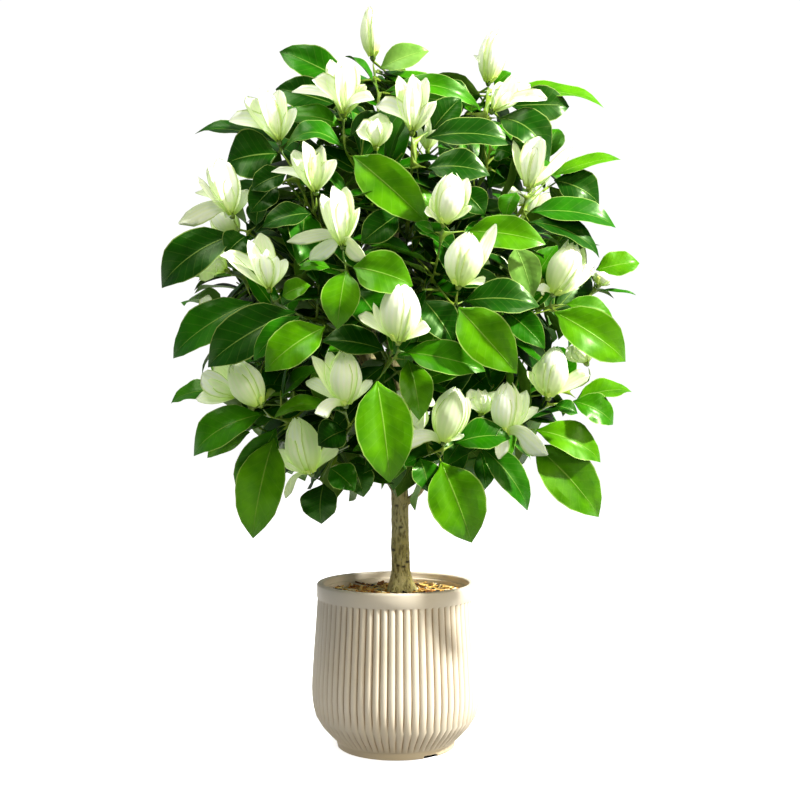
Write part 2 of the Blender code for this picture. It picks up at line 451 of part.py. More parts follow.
class Body:
    """Points and faces of a closed body that grows out of sockets, faces that it keeps open."""

    def __init__(self):
        self.points = []
        self.faces = []
        self.sockets = {}
        self.made = 0

    def ring(self, places):
        self.points += places
        return list(range(len(self.points) - len(places), len(self.points)))

    def socket(self, ring):
        self.made += 1
        self.sockets[self.made] = tuple(ring)
        return self.made

    def middle(self, ring):
        return sum((self.points[k] for k in ring), Vector()) / len(ring)

    def join(self, low, high):
        """Side faces between two rings, split the same way over and under a blade's edges."""
        for k in range(len(low)):
            after = (k + 1) % len(low)
            if k % 2 == 0:
                self.faces += [(low[k], low[after], high[after]), (low[k], high[after], high[k])]
            else:
                self.faces += [(low[k], low[after], high[k]), (low[after], high[after], high[k])]

    def matched(self, ring, places):
        """The ring, turned so that its points lie nearest to those places, and whether the places run backwards."""
        count = len(ring)
        centre, target = self.middle(ring), sum(places, Vector()) / count
        ring_places = [self.points[k] - centre for k in ring]
        new_places = [place - target for place in places]
        ahead = target - centre
        ring_way = sum((ring_places[k].cross(ring_places[(k + 1) % count]).dot(ahead) for k in range(count)))
        new_way = sum((new_places[k].cross(new_places[(k + 1) % count]).dot(ahead) for k in range(count)))
        flipped = ring_way * new_way < 0
        if flipped:
            new_places = [new_places[-k % count] for k in range(count)]
        shift = min(range(count), key=lambda s: sum((ring_places[(k + s) % count].normalized()
                                                     - new_places[k].normalized()).length for k in range(count)))
        return [ring[(k + shift) % count] for k in range(count)], flipped

    def state(self):
        return len(self.points), len(self.faces), dict(self.sockets)

    def back_to(self, state):
        del self.points[state[0]:]
        del self.faces[state[1]:]
        self.sockets = dict(state[2])

    def crossed(self, state):
        """Whether what was added since this state crosses itself or the rest."""
        old = self.faces[:state[1]] + [ring for key, ring in self.sockets.items() if key in state[2]]
        new = self.faces[state[1]:] + [ring for key, ring in self.sockets.items() if key not in state[2]]
        grown = BVHTree.FromPolygons(self.points, new)
        for a, b in grown.overlap(BVHTree.FromPolygons(self.points, old)):
            if not set(new[a]) & set(old[b]):
                return True
        for a, b in grown.overlap(grown):
            if not set(new[a]) & set(new[b]):
                return True
        grown = self.shrunken(new)
        if grown.overlap(self.shrunken(old)):
            return True
        return any(a != b for a, b in grown.overlap(grown))

    def shrunken(self, faces):
        """A search tree of the faces, each a little smaller, so that neighbours don't count as touching."""
        points, rings = [], []
        for face in faces:
            middle = self.middle(face)
            rings.append(tuple(range(len(points), len(points) + len(face))))
            points += [self.points[k].lerp(middle, 0.04) for k in face]
        return BVHTree.FromPolygons(points, rings)

    def grow(self, key, sections, tip):
        """Lofts from a socket through the sections to the tip, unless that would cross the body."""
        state = self.state()
        ring, flipped = self.matched(self.sockets.pop(key), sections[0])
        for places in sections:
            places = [places[-k % len(places)] for k in range(len(places))] if flipped else places
            new = self.ring(places)
            self.join(ring, new)
            ring = new
        end = self.ring([tip])[0]
        self.faces += [(ring[k], ring[(k + 1) % len(ring)], end) for k in range(len(ring))]
        if self.crossed(state):
            self.back_to(state)
            return False
        return True

    def close(self):
        for ring in self.sockets.values():
            self.faces += [(ring[0], ring[k], ring[k + 1]) for k in range(1, len(ring) - 1)]
        self.sockets = {}


def round_section(place, side, other, radius, sides):
    turns = [2 * math.pi * k / sides for k in range(sides)]
    return [place + (side * math.cos(a) + other * math.sin(a)) * radius for a in turns]


def tube(path, radii, sides, end_direction=None):
    """A tapering round stem along the path; its ends are square to it."""
    sections = []
    side = None
    for number, place in enumerate(path):
        ahead = path[min(number + 1, len(path) - 1)] - path[max(number - 1, 0)]
        if number == len(path) - 1 and end_direction is not None:
            ahead = end_direction
        ahead = ahead.normalized()
        side = across_of(ahead) if side is None else (side - ahead * side.dot(ahead)).normalized()
        radius = radii[0] + (radii[1] - radii[0]) * number / (len(path) - 1) if len(radii) == 2 else radii[number]
        sections.append(round_section(place, side, ahead.cross(side), radius, sides))
    return loft(sections)


class Stem:
    """A green stem along a curve. growths are the distances along it at which something will grow."""

    def __init__(self, path, radii, end_direction=None):
        self.radii = radii
        self.end_direction = end_direction
        self.follow(path)
        self.growths = []
        self.fill = []
        self.nodes = []

    def follow(self, path):
        self.path = path
        self.reach = [0.0]
        for start, end in zip(path, path[1:]):
            self.reach.append(self.reach[-1] + (end - start).length)
        self.length = self.reach[-1]

    def at(self, distance):
        """Place and direction of the stem this far along it."""
        distance = max(0.0, min(self.length, distance))
        first = max(k for k in range(len(self.path) - 1) if self.reach[k] <= distance + 1e-9)
        run = self.path[first + 1] - self.path[first]
        place = self.path[first] + run * ((distance - self.reach[first]) / run.length)
        ahead = run.normalized()
        if first + 2 < len(self.path):
            share = (distance - self.reach[first]) / run.length
            following = (self.path[first + 2] - self.path[first + 1]).normalized()
            ahead = ahead.lerp(following, share * 0.5).normalized()
        return place, ahead

    def nearest(self, place):
        """Distance along the stem of its point nearest to this place."""
        best = (1e9, 0.0)
        for k, (start, end) in enumerate(zip(self.path, self.path[1:])):
            run = end - start
            share = max(0.0, min(1.0, (place - start).dot(run) / run.length_squared))
            gap = (start + run * share - place).length
            best = min(best, (gap, self.reach[k] + share * run.length))
        return best[1], best[0]

    def piece(self, sides=4):
        return tube(self.path, self.radii, sides, self.end_direction)

    def lay(self, body, start=None):
        """Adds the stem to the body, with sockets round each node, unless it would cross what is there."""
        state = body.state()
        self.nodes = []
        for distance in sorted(self.growths):
            if not self.nodes or distance > self.nodes[-1][0] + NODE_STEP * 0.8:
                low = self.nodes[-1][0] + NODE_STEP if self.nodes else NODE_STEP
                self.nodes.append([max(distance, low), []])
        limit = self.length - NODE_STEP * 0.7
        for node in reversed(self.nodes):
            node[0] = min(node[0], limit)
            limit = node[0] - NODE_STEP
        distances = [0.0] if start is None else []
        distances += [distance for place, _ in self.nodes for distance in (place - NODE_HALF, place + NODE_HALF)]
        distances.append(self.length)
        stops = []
        for distance in distances:
            before = stops[-1] if stops else 0.0
            if distance - before > LONGEST_RUN:
                stops.append((distance + before) / 2)
            stops.append(distance)
        ring, side, flipped = None, None, False
        if start is not None:
            ring = body.sockets.pop(start)
            side = body.points[ring[0]] - body.middle(ring)
        for number, distance in enumerate(stops):
            place, ahead = self.at(distance)
            if number == len(stops) - 1 and self.end_direction is not None:
                ahead = self.end_direction
            side = across_of(ahead) if side is None else (side - ahead * side.dot(ahead)).normalized()
            radius = self.radii[0] + (self.radii[1] - self.radii[0]) * distance / self.length
            places = round_section(place, side, ahead.cross(side), radius, 4)
            if ring is None:
                ring = body.ring(places)
                body.faces.append(tuple(ring))
                continue
            if number == 0:
                ring, flipped = body.matched(ring, places)
            new = body.ring([places[-k % 4] for k in range(4)] if flipped else places)
            node = [node for node in self.nodes if abs(node[0] + NODE_HALF - distance) < 1e-7]
            for k in range(4):
                a, b, c, d = ring[k], ring[(k + 1) % 4], new[(k + 1) % 4], new[k]
                if node:
                    node[0][1].append(body.socket((a, b, c, d)))
                else:
                    body.faces += [(a, b, c), (a, c, d)]
            ring = new
        body.faces.append(tuple(ring))
        if body.crossed(state):
            body.back_to(state)
            return False
        return True

    def open_sockets(self, body, distance, target):
        """The stem's open sockets, the best first: near this distance, and on the side of the target."""
        found = []
        for place, keys in self.nodes:
            centre = self.at(place)[0]
            for key in keys:
                if key in body.sockets:
                    outward = (body.middle(body.sockets[key]) - centre).normalized()
                    facing = outward.dot((target - centre).normalized())
                    found.append((abs(place - distance) / 0.012 - facing, key))
        return [key for _, key in sorted(found)]


def leaf_frame(base, tip, turn, eye=EYE):
    """Unit vectors along the leaf, across it and out of its upper face."""
    along = (tip - base).normalized()
    facing = eye - (base + tip) / 2
    facing = (facing - along * facing.dot(along)).normalized()
    skyward = along.cross(facing)
    outward = Vector((base.x - HEART.x, base.y - HEART.y, 0)) * 2 + Vector((0, 0, 1))
    if skyward.dot(outward) < 0:
        skyward = -skyward
    upper = facing * math.cos(turn) + skyward * math.sin(turn)
    return along, along.cross(upper), upper


def blade_section(centre, side, upper, half, fold, thickness):
    """Four corners of a folded blade's section: one edge, rib underside, other edge, rib top."""
    lift = upper * half * math.sin(fold)
    reach = side * half * math.cos(fold)
    return [centre - reach + lift, centre - upper * thickness, centre + reach + lift, centre]


def leaf_point(base, tip, upper, arch, t):
    """Point on the arched rib, at the share t of the blade's length."""
    return base.lerp(tip, t) + upper * arch * 4 * t * (1 - t)


def leaf_sections(base, tip, width, turn, arch, eye=EYE, petiole=True):
    """Sections of a leaf past its root: the petiole's end and the folded, arched blade."""
    along, side, upper = leaf_frame(base, tip, turn, eye)
    sections = []
    if petiole:
        sections.append(blade_section(base, side, upper, PETIOLE_HALF, 0.1, LEAF_THICKNESS))
    for t, share in ((0.30, 0.47), (0.66, 0.40)):
        sections.append(blade_section(leaf_point(base, tip, upper, arch, t), side, upper, width * share,
                                      LEAF_FOLD, LEAF_THICKNESS))
    return sections


def petal_path(root, bend, tip, t):
    """Point of a petal's rib, which leaves the root towards the bend and ends at the tip."""
    return root * (1 - t) ** 2 + bend * 2 * t * (1 - t) + tip * t**2


def petal_sections(root, axis, bend, tip, half, away, turn):
    """Three-cornered sections of a petal: two edges and the rib of its outer face, which turns to away."""
    sections = []
    for t, share in ((0.34, 0.50), (0.70, 1.0)):
        centre = petal_path(root, bend, tip, t)
        ahead = (petal_path(root, bend, tip, t + 0.05) - petal_path(root, bend, tip, t - 0.05)).normalized()
        outward = tip - root - axis * (tip - root).dot(axis)
        outward = (outward - ahead * outward.dot(ahead)).normalized()
        turned = outward + away * turn
        turned = (turned - ahead * turned.dot(ahead)).normalized()
        side = ahead.cross(turned)
        reach = side * half * share
        sections.append([centre - reach, centre + reach, centre + turned * PETAL_THICKNESS])
    return sections


def lapped_sections(root, axis, length, half, facing):
    """Sections and tip of one of the petals that close a bud, flat against its core."""
    side = across_of(axis)
    outward = side * math.cos(facing) + axis.cross(side) * math.sin(facing)
    flank = axis.cross(outward)
    sections = []
    for t, out, wide in ((0.36, 0.86, 0.74), (0.70, 0.72, 0.60)):
        centre = root + axis * length * t + outward * half * out
        sections.append([centre - flank * half * wide, centre + flank * half * wide,
                         centre + outward * half * 0.17])
    return sections, root + axis * length * 0.98 + outward * half * 0.20


def grow_petal(body, root, axis, tip, half, away, sockets, core):
    """One free petal, its depth, width and turn changed little by little until it crosses nothing."""
    reach = tip - root
    length = reach.length
    reach = (reach - axis * reach.dot(axis)).normalized()
    level = {key: body.middle(body.sockets[key]) - root for key in sockets if key in body.sockets}
    near = sorted(level, key=lambda key: -(level[key] - axis * level[key].dot(axis)).normalized().dot(reach))
    bend = root + axis * length * 0.45 + reach * 0.005
    if core:
        bend = root + axis * length * 0.30 + reach * core * 1.5
    for width, turn, step in PETAL_TRIALS:
        moved = tip + away * step + reach * abs(step) * 0.3
        bent = bend + away * step * 0.5
        sections = petal_sections(root, axis, bent, moved, half * width, away, turn)
        for key in near[:4]:
            if body.grow(key, sections, moved):
                return True
    return False


def bloom_body(name, base, tip, core, petals, turn, away):
    """A bloom grown from its receptacle: pistil or closed bud from its top, petals from its side triangles."""
    axis = (tip - base).normalized()
    low, high, tall = RECEPTACLE
    closed = core >= BUD_CORE
    count = 6 if closed else 5
    side = across_of(axis)
    other = axis.cross(side)

    def circle(height, radius, offset):
        angles = [turn + 2 * math.pi * (k + offset) / count for k in range(count)]
        return [base + axis * height + (side * math.cos(a) + other * math.sin(a)) * radius for a in angles]

    body = Body()
    foot = body.ring(circle(0, low, 0))
    lower = body.ring(circle(tall * 0.35, high, 0))
    upper = body.ring(circle(tall, low * 1.25, 0.5))
    body.faces.append(tuple(foot))
    body.join(foot, lower)
    keys = []
    for k in range(count):
        after = (k + 1) % count
        keys.append(body.socket((lower[k], lower[after], upper[k])))
        keys.append(body.socket((upper[k], lower[after], upper[after])))
    root = base + axis * tall * 0.6
    length = (tip - root).length
    half = core / 1000
    if closed:
        sections = [circle(tall * 0.6 + length * t, half * r, 0.5) for t, r in ((0.36, 0.74), (0.70, 0.60))]
        end = root + axis * length * 0.96
    else:
        sections = [circle(tall + PISTIL[1] * 0.55, PISTIL[0], 0.5)]
        end = base + axis * (tall + PISTIL[1])
    body.grow(body.socket(upper), sections, end)
    for petal_tip, petal_half in petals:
        if not grow_petal(body, root, axis, petal_tip, petal_half / 1000, away, keys, half if closed else 0):
            print("no room for a petal of", name)
    for number in range(LAPPED_PETALS if closed else 0):
        facing = turn + 2 * math.pi * (number + 0.4) / LAPPED_PETALS
        laps, end = lapped_sections(root, axis, length, half, facing)
        centre = {key: body.middle(body.sockets[key]) - root for key in keys if key in body.sockets}
        reach = laps[0][2] - root
        near = sorted(centre, key=lambda key: -centre[key].normalized().dot(reach.normalized()))
        if not any(body.grow(key, laps, end) for key in near[:4]):
            print("no room for a lapped petal of", name)
    body.close()
    return body.points, body.faces


def far_point(turn, rise, share=1.0):
    """A point of the far side, by its direction from the crown's middle."""
    turn, rise = math.radians(turn), math.radians(rise)
    reach = Vector((math.cos(turn) * math.cos(rise) * FAR_REACH[0], math.sin(turn) * math.cos(rise) * FAR_REACH[1],
                    math.sin(rise) * FAR_REACH[2]))
    return FAR_MIDDLE + reach * share


def seat_of(head):
    """Where a shoot leaves its branchlet, and the direction it leaves in."""
    reach = head - HEART
    direction = (reach.normalized() + Vector((0, 0, 0.35))).normalized()
    return HEART + reach * SEAT_REACH, direction


class Placed:
    """What already stands in the crown, so that nothing new crosses it."""

    def __init__(self):
        self.entries = []

    def add(self, owner, kind, piece):
        points, faces = piece
        low = Vector([min(p[i] for p in points) for i in range(3)])
        high = Vector([max(p[i] for p in points) for i in range(3)])
        self.entries.append((owner, kind, low, high, BVHTree.FromPolygons(points, faces, epsilon=0.0004)))

    def hits(self, piece, spared):
        """Owners of the pieces that this one would cross, apart from those spared allows."""
        points, faces = piece
        low = Vector([min(p[i] for p in points) for i in range(3)])
        high = Vector([max(p[i] for p in points) for i in range(3)])
        tree = BVHTree.FromPolygons(points, faces, epsilon=0.0004)
        found = set()
        for owner, kind, other_low, other_high, other in self.entries:
            if any(low[i] > other_high[i] + 0.001 or high[i] < other_low[i] - 0.001 for i in range(3)):
                continue
            if not spared(owner, kind) and tree.overlap(other):
                found.add(owner)
        return found


def pot_profile():
    """Outline from the drain hole round the foot, up the outside and down the inside: (radius, height, columns)."""
    band_bottom = RIM_HEIGHT - BAND_HEIGHT
    few, plain, ribbed = RIB_COUNT // 2, RIB_COUNT, RIB_COUNT * 2
    return [
        (DRAIN_RADIUS, 0.003, few),
        (FOOT_RADIUS - FOOT_RING_WIDTH - 0.001, 0.003, plain),
        (FOOT_RADIUS - FOOT_RING_WIDTH, 0.0, plain),
        (FOOT_RADIUS - 0.001, 0.0, plain),
        (FOOT_RADIUS, FOOT_HEIGHT, plain),
        (0.0848, 0.0172, ribbed),
        (0.1010, 0.0380, ribbed),
        (BELLY_RADIUS, BELLY_HEIGHT, ribbed),
        (0.0992, band_bottom - 0.001, ribbed),
        (RIM_RADIUS, band_bottom, plain),
        (RIM_RADIUS, RIM_HEIGHT - 0.002, plain),
        (RIM_RADIUS - 0.002, RIM_HEIGHT, plain),
        (LIP_INNER_RADIUS + 0.001, RIM_HEIGHT, plain),
        (LIP_INNER_RADIUS, RIM_HEIGHT - LEDGE_DROP, plain),
    ] + inner_profile()


def inner_profile():
    """The inside below the ledge, down to the drain hole."""
    few = RIB_COUNT // 2
    return [
        (LEDGE_RADIUS, RIM_HEIGHT - LEDGE_DROP - 0.0005, few),
        (0.0945, 0.176, few),
        (BELLY_RADIUS - WALL - RIB_DEPTH, BELLY_HEIGHT, few),
        (0.0730, 0.0125, few),
        (0.0660, FLOOR_HEIGHT, few),
        (DRAIN_RADIUS, FLOOR_HEIGHT, few),
    ]


def turned_ring(mesh, radius, height, columns, plain_columns):
    """One ring of a turned shape; every second column of a ribbed ring lies in a groove."""
    ring = []
    for column in range(columns):
        angle = 2 * math.pi * column / columns
        reach = radius - RIB_DEPTH if columns > plain_columns and column % 2 == 0 else radius
        ring.append(mesh.verts.new((reach * math.cos(angle), reach * math.sin(angle), height)))
    return ring


def join_rings(mesh, low, high):
    """Faces between two rings, of which one may have twice the other's columns."""
    if len(low) == len(high):
        for k in range(len(low)):
            after = (k + 1) % len(low)
            mesh.faces.new((low[k], low[after], high[after], high[k]))
        return
    coarse, fine = (low, high) if len(low) < len(high) else (high, low)
    for k in range(len(coarse)):
        first, middle, last = fine[2 * k], fine[2 * k + 1], fine[(2 * k + 2) % len(fine)]
        after = coarse[(k + 1) % len(coarse)]
        mesh.faces.new((coarse[k], middle, first))
        mesh.faces.new((coarse[k], after, middle))
        mesh.faces.new((after, last, middle))


def finish_mesh(name, mesh, material):
    """Turns a bmesh into the named object with its faces pointing out."""
    bmesh.ops.recalc_face_normals(mesh, faces=mesh.faces)
    bmesh.ops.triangulate(mesh, faces=mesh.faces)
    data = bpy.data.meshes.new(name)
    mesh.to_mesh(data)
    mesh.free()
    data.materials.append(material)
    data.shade_smooth()
    data.set_sharp_from_angle(angle=math.radians(30))
    thing = bpy.data.objects.new(name, data)
    bpy.context.scene.collection.objects.link(thing)
    return thing


def make_pot(material):
    mesh = bmesh.new()
    rings = [turned_ring(mesh, *row, RIB_COUNT) for row in pot_profile()]
    for low, high in zip(rings, rings[1:] + rings[:1]):
        join_rings(mesh, low, high)
    pot = finish_mesh("pot", mesh, material)
    for number in range(NOTCH_COUNT):
        angle = NOTCH_ANGLE + 2 * math.pi * number / NOTCH_COUNT
        notch = bmesh.new()
        bmesh.ops.create_cube(notch, size=1)
        bmesh.ops.scale(notch, verts=notch.verts, vec=NOTCH_SIZE)
        middle = FOOT_RADIUS - FOOT_RING_WIDTH / 2
        bmesh.ops.translate(notch, verts=notch.verts, vec=(middle, 0, NOTCH_SIZE[2] / 2 - 0.001))
        bmesh.ops.rotate(notch, verts=notch.verts, cent=(0, 0, 0), matrix=Matrix.Rotation(angle, 3, "Z"))
        cut(pot, finish_mesh(f"notch_{number}", notch, material))
    return pot


def inner_radius(height):
    """Radius of the pot's inside at this height."""
    rows = inner_profile()
    for (high_radius, high, _), (low_radius, low, _) in zip(rows, rows[1:]):
        if low <= height <= high and high > low:
            return low_radius + (high_radius - low_radius) * (height - low) / (high - low)
    return rows[0][0]


def trunk_hole(grow):
    """A plug in the shape of the trunk's foot, grown by this much all round."""
    places = [Vector(place) for place, _ in TRUNK[:4]]
    radii = [radius + grow for _, radius in TRUNK[:4]]
    places[0] = places[0] - Vector((0, 0, grow))
    points, faces = tube(places, radii, TRUNK_SIDES)
    return make_object("trunk_hole", points, faces)


def make_soil(material):
    fit = SEAT_GAP * 1.5
    few = RIB_COUNT // 2
    rows = [(radius - fit, height) for radius, height, _ in inner_profile()[1:5]]
    rows[-1] = (rows[-1][0], FLOOR_HEIGHT + SEAT_GAP)
    rows.insert(0, (inner_radius(SOIL_HEIGHT) - fit, SOIL_HEIGHT))
    mesh = bmesh.new()
    rings = [turned_ring(mesh, radius, height, few, few) for radius, height in rows]
    for high, low in zip(rings, rings[1:]):
        join_rings(mesh, high, low)
    for ring, height in ((rings[0], SOIL_HEIGHT), (rings[-1], FLOOR_HEIGHT + SEAT_GAP)):
        middle = mesh.verts.new((0, 0, height))
        for k in range(few):
            mesh.faces.new((ring[k], ring[(k + 1) % few], middle))
    soil = finish_mesh("soil", mesh, material)
    cut(soil, trunk_hole(SEAT_GAP))
    return soil


def chip(place, turn, tilt, roll, size):
    """A flat wood chip with one skewed end."""
    long, wide, thick = size
    mesh = bmesh.new()
    bmesh.ops.create_cube(mesh, size=1)
    bmesh.ops.scale(mesh, verts=mesh.verts, vec=(long, wide, thick))
    for corner in mesh.verts:
        corner.co.x += 0.35 * corner.co.y
    matrix = (Matrix.Translation(place) @ Matrix.Rotation(turn, 4, "Z") @ Matrix.Rotation(tilt, 4, "Y")
              @ Matrix.Rotation(roll, 4, "X"))
    bmesh.ops.transform(mesh, matrix=matrix, verts=mesh.verts)
    bmesh.ops.recalc_face_normals(mesh, faces=mesh.faces)
    mesh.verts.index_update()
    piece = [corner.co.copy() for corner in mesh.verts], [tuple(v.index for v in face.verts) for face in mesh.faces]
    mesh.free()
    return piece


def make_mulch(material):
    """A layer of wood chips over the soil, lying in each other."""
    rng = random.Random(5)
    few = RIB_COUNT // 2
    low, high = SOIL_HEIGHT + SEAT_GAP, SOIL_HEIGHT + SEAT_GAP + MULCH_BASE
    sections = []
    for height in (low, high):
        radius = inner_radius(height) - 2 * SEAT_GAP
        turns = [2 * math.pi * k / few for k in range(few)]
        sections.append([Vector((radius * math.cos(a), radius * math.sin(a), height)) for a in turns])
    pieces = [loft(sections)]
    for number in range(CHIP_COUNT):
        size = [CHIP_LENGTH * rng.uniform(0.7, 1.2), CHIP_WIDTH * rng.uniform(0.7, 1.2), CHIP_THICKNESS]
        reach = (inner_radius(high) - 0.016) * math.sqrt((number + 0.7) / CHIP_COUNT)
        angle = GOLDEN_TURN * number
        place = Vector((reach * math.cos(angle), reach * math.sin(angle), high + rng.uniform(0.0002, 0.0022)))
        pieces.append(chip(place, rng.uniform(0, math.pi), rng.uniform(-0.16, 0.16), rng.uniform(-0.25, 0.25), size))
    mulch = fuse("mulch", pieces, material)
    cut(mulch, trunk_hole(2 * SEAT_GAP))
    return mulch


def make_wood(material, seats, placed):
    """The trunk and limbs, with a branchlet out to each shoot's seat."""
    trunk_path = [Vector(place) for place, _ in TRUNK]
    trunk = tube(trunk_path, [radius for _, radius in TRUNK], TRUNK_SIDES)
    pieces = [trunk]
    forks = [(place, radius) for place, radius in zip(trunk_path[5:], [radius for _, radius in TRUNK[5:]])]
    for limb in LIMBS:
        path = smooth_path([Vector(place) for place, _ in limb], 2)
        radii = [limb[0][1] + (limb[-1][1] - limb[0][1]) * k / (len(path) - 1) for k in range(len(path))]
        pieces.append(tube(path, radii, 5))
        if len(pieces) <= len(LIMBS):
            forks += list(zip(path[2:], radii[2:]))
    for seat, direction in seats:
        start, radius = min(forks, key=lambda fork: (fork[0] - seat).length
                            + 3 * max(0.0, fork[0].z + 0.012 - seat.z))
        start = start + (seat - start).normalized() * 0.0011
        bend = seat - direction * (seat - start).length * 0.45
        path = [start * (1 - t) ** 2 + bend * 2 * t * (1 - t) + seat * t**2 for t in (0.0, 0.5, 1.0)]
        thick = min(BRANCHLET_RADIUS[0], radius * 0.95)
        pieces.append(tube(path, (thick, BRANCHLET_RADIUS[1]), 4, direction))
    for piece in pieces:
        placed.add("trunk", "wood", piece)
    return fuse("trunk", pieces, material)


def near_bloom(name):
    """Base, tip, core and petals of a bloom of the near side, in metres."""
    row = BLOOMS[name]
    depth = crown_front(*row["base"]) + row["back"] / 1000
    base = seen(*row["base"], depth)
    tip = seen(*row["tip"], depth + row["away"] / 1000)
    petals = [(seen(across, down, depth + further / 1000), half) for across, down, further, half in row["petals"]]
    return base, tip, row["core"], petals


def far_bloom(name, base, direction):
    """Base, tip, core and petals of a bloom of the far side, with its petals spread by a rule."""
    row = FAR_BLOOMS[name]
    tip = base + direction * FAR_BLOOM_LENGTH
    side = across_of(direction)
    other = direction.cross(side)
    petals = []
    for number in range(row["petals"]):
        angle = 2 * math.pi * number / row["petals"]
        spread = math.radians(28 + 30 * (number % 2))
        reach = (side * math.cos(angle) + other * math.sin(angle)) * math.sin(spread) + direction * math.cos(spread)
        petals.append((base + reach * FAR_BLOOM_LENGTH * 0.95, 5.5))
    if row["core"] < 8:
        tip = base + direction * FAR_BLOOM_LENGTH * 0.8
    return base, tip, row["core"], petals


def plan_shoots():
    """Head, stems and blooms of every shoot, before any leaf is placed."""
    plans = {}
    for name, shoot in SHOOTS.items():
        ends = []
        for bloom, *ways in shoot["stems"]:
            ends.append((bloom, [behind_front(*way) for way in ways], near_bloom(bloom)))
        plans[name] = dict(head=behind_front(*shoot["head"]), ends=ends)
    for name, shoot in FAR_SHOOTS.items():
        ends = []
        for bloom, direction in shoot["stems"]:
            end = far_point(*direction, 0.84 if bloom else 0.88)
            if bloom:
                rising = ((end - FAR_MIDDLE).normalized() + Vector((0, 0, 0.9))).normalized()
                ends.append((bloom, [], far_bloom(bloom, end, rising)))
            else:
                ends.append((None, [], end))
        plans[name] = dict(head=far_point(*shoot["head"], 0.80), ends=ends)
    return plans


def plan_stems(plan):
    """The green stems of one shoot: the main one from its seat to the head, the others from its upper part."""
    seat, direction = seat_of(plan["head"])
    start = seat + direction * SEAT_GAP
    bend = start + direction * (plan["head"] - start).length * 0.4
    main = Stem([start * (1 - t) ** 2 + bend * 2 * t * (1 - t) + plan["head"] * t**2
                 for t in (0.0, 0.06, 0.2, 0.4, 0.6, 0.8, 1.0)], TWIG_RADIUS)
    stems = [main]
    for number, (bloom, ways, end) in enumerate(plan["ends"]):
        goal = ways[0] if ways else end[0] if bloom else end
        leave = min((main.length * share for share in FORK_SHARES),
                    key=lambda d: abs((goal - main.at(d)[0]).angle(main.at(d)[1]) - FORK_ANGLE)
                    + abs(d / main.length - 0.62 - 0.13 * number))
        fork, _ = main.at(leave)
        if bloom:
            base, tip = end[0], end[1]
            axis = (tip - base).normalized()
            target = base - axis * SEAT_GAP
            lead = target - axis * min(0.012, (target - fork).length * 0.3)
            stem = Stem(smooth_path([fork] + ways + [lead, target], 3), PEDICEL_RADIUS, axis)
        else:
            stem = Stem(smooth_path([fork, (fork + end) / 2 + Vector((0, 0, 0.008)), end], 3), PEDICEL_RADIUS)
        main.growths.append(leave)
        stem.leave = leave
        stems.append(stem)
    return stems


def near_base(row):
    """Where a near leaf's blade begins, before any of its moves."""
    _, (across, down, back), _, _, _, _ = row
    return seen(across, down, crown_front(across, down) + back / 1000)


def root_on(stems, place):
    """The stem nearest to this place and the distance along it."""
    reached = [stem.nearest(place) for stem in stems]
    best = min(range(len(stems)), key=lambda k: reached[k][1])
    return stems[best], max(NODE_STEP, min(reached[best][0], stems[best].length - NODE_STEP))


def plan_nodes(shoots):
    """Where along each stem the leaves will grow, from the table and from the rule."""
    for row in LEAVES:
        stem, distance = root_on(shoots[row[0]], near_base(row))
        stem.growths.append(distance)
    for name, stems in shoots.items():
        stem_count = 1 if name in SHOOTS else len(stems)
        leaf_count = FILL_PER_NEAR_SHOOT if name in SHOOTS else FILL_PER_FAR_STEM
        for stem in stems[:stem_count]:
            stem.fill = [NODE_STEP + (number + 0.6) / leaf_count * (stem.length - 2 * NODE_STEP)
                         for number in range(leaf_count)]
            stem.growths += stem.fill


def grow_leaf(name, body, keys, sections, tip, placed):
    """Grows a leaf from the first of the sockets where it crosses neither its own shoot nor anything else."""
    for key in keys:
        ring = body.sockets[key]
        order, flipped = body.matched(ring, sections[0])
        turned = [[places[-k % 4] for k in range(4)] for places in sections] if flipped else sections
        piece = loft([[body.points[k] for k in order]] + turned, tip)
        if placed.hits(piece, lambda owner, kind: owner == name):
            continue
        if body.grow(key, sections, tip):
            placed.add(name, "leaf", piece)
            return True
    return False


def grow_near_leaf(row, shoots, bodies, placed):
    """A leaf of the near side, from its own shoot or a neighbour, after the smallest move that clears it."""
    own, (across, down, back), (tip_across, tip_down, away), width, turn, arch = row
    place = near_base(row)
    names = sorted(shoots, key=lambda name: (name != own, min(stem.nearest(place)[1] for stem in shoots[name])))
    for reach in (1, 4):
        for shift, twist, tip_shift, ahead in LEAF_MOVES:
            depth = crown_front(across, down) + (back + shift) / 1000
            base = seen(across, down, depth)
            tip = seen(tip_across, tip_down, depth + (away + tip_shift) / 1000)
            base = base.lerp(tip, ahead)
            for name in names[:reach]:
                stem, distance = root_on([stem for stem in shoots[name] if stem.nodes], base)
                root = stem.at(distance)[0]
                blade = base
                if (base - root).length < PETIOLE_LENGTH:
                    outward = (base - root).normalized() + (tip - root).normalized() * 2
                    blade = root + outward.normalized() * PETIOLE_LENGTH
                sections = leaf_sections(blade, tip, width / 1000, math.radians(turn + twist), arch / 1000)
                keys = stem.open_sockets(bodies[name], distance, sum(sections[0], Vector()) / 4)[:8]
                if grow_leaf(name, bodies[name], keys, sections, tip, placed):
                    return True
    return False


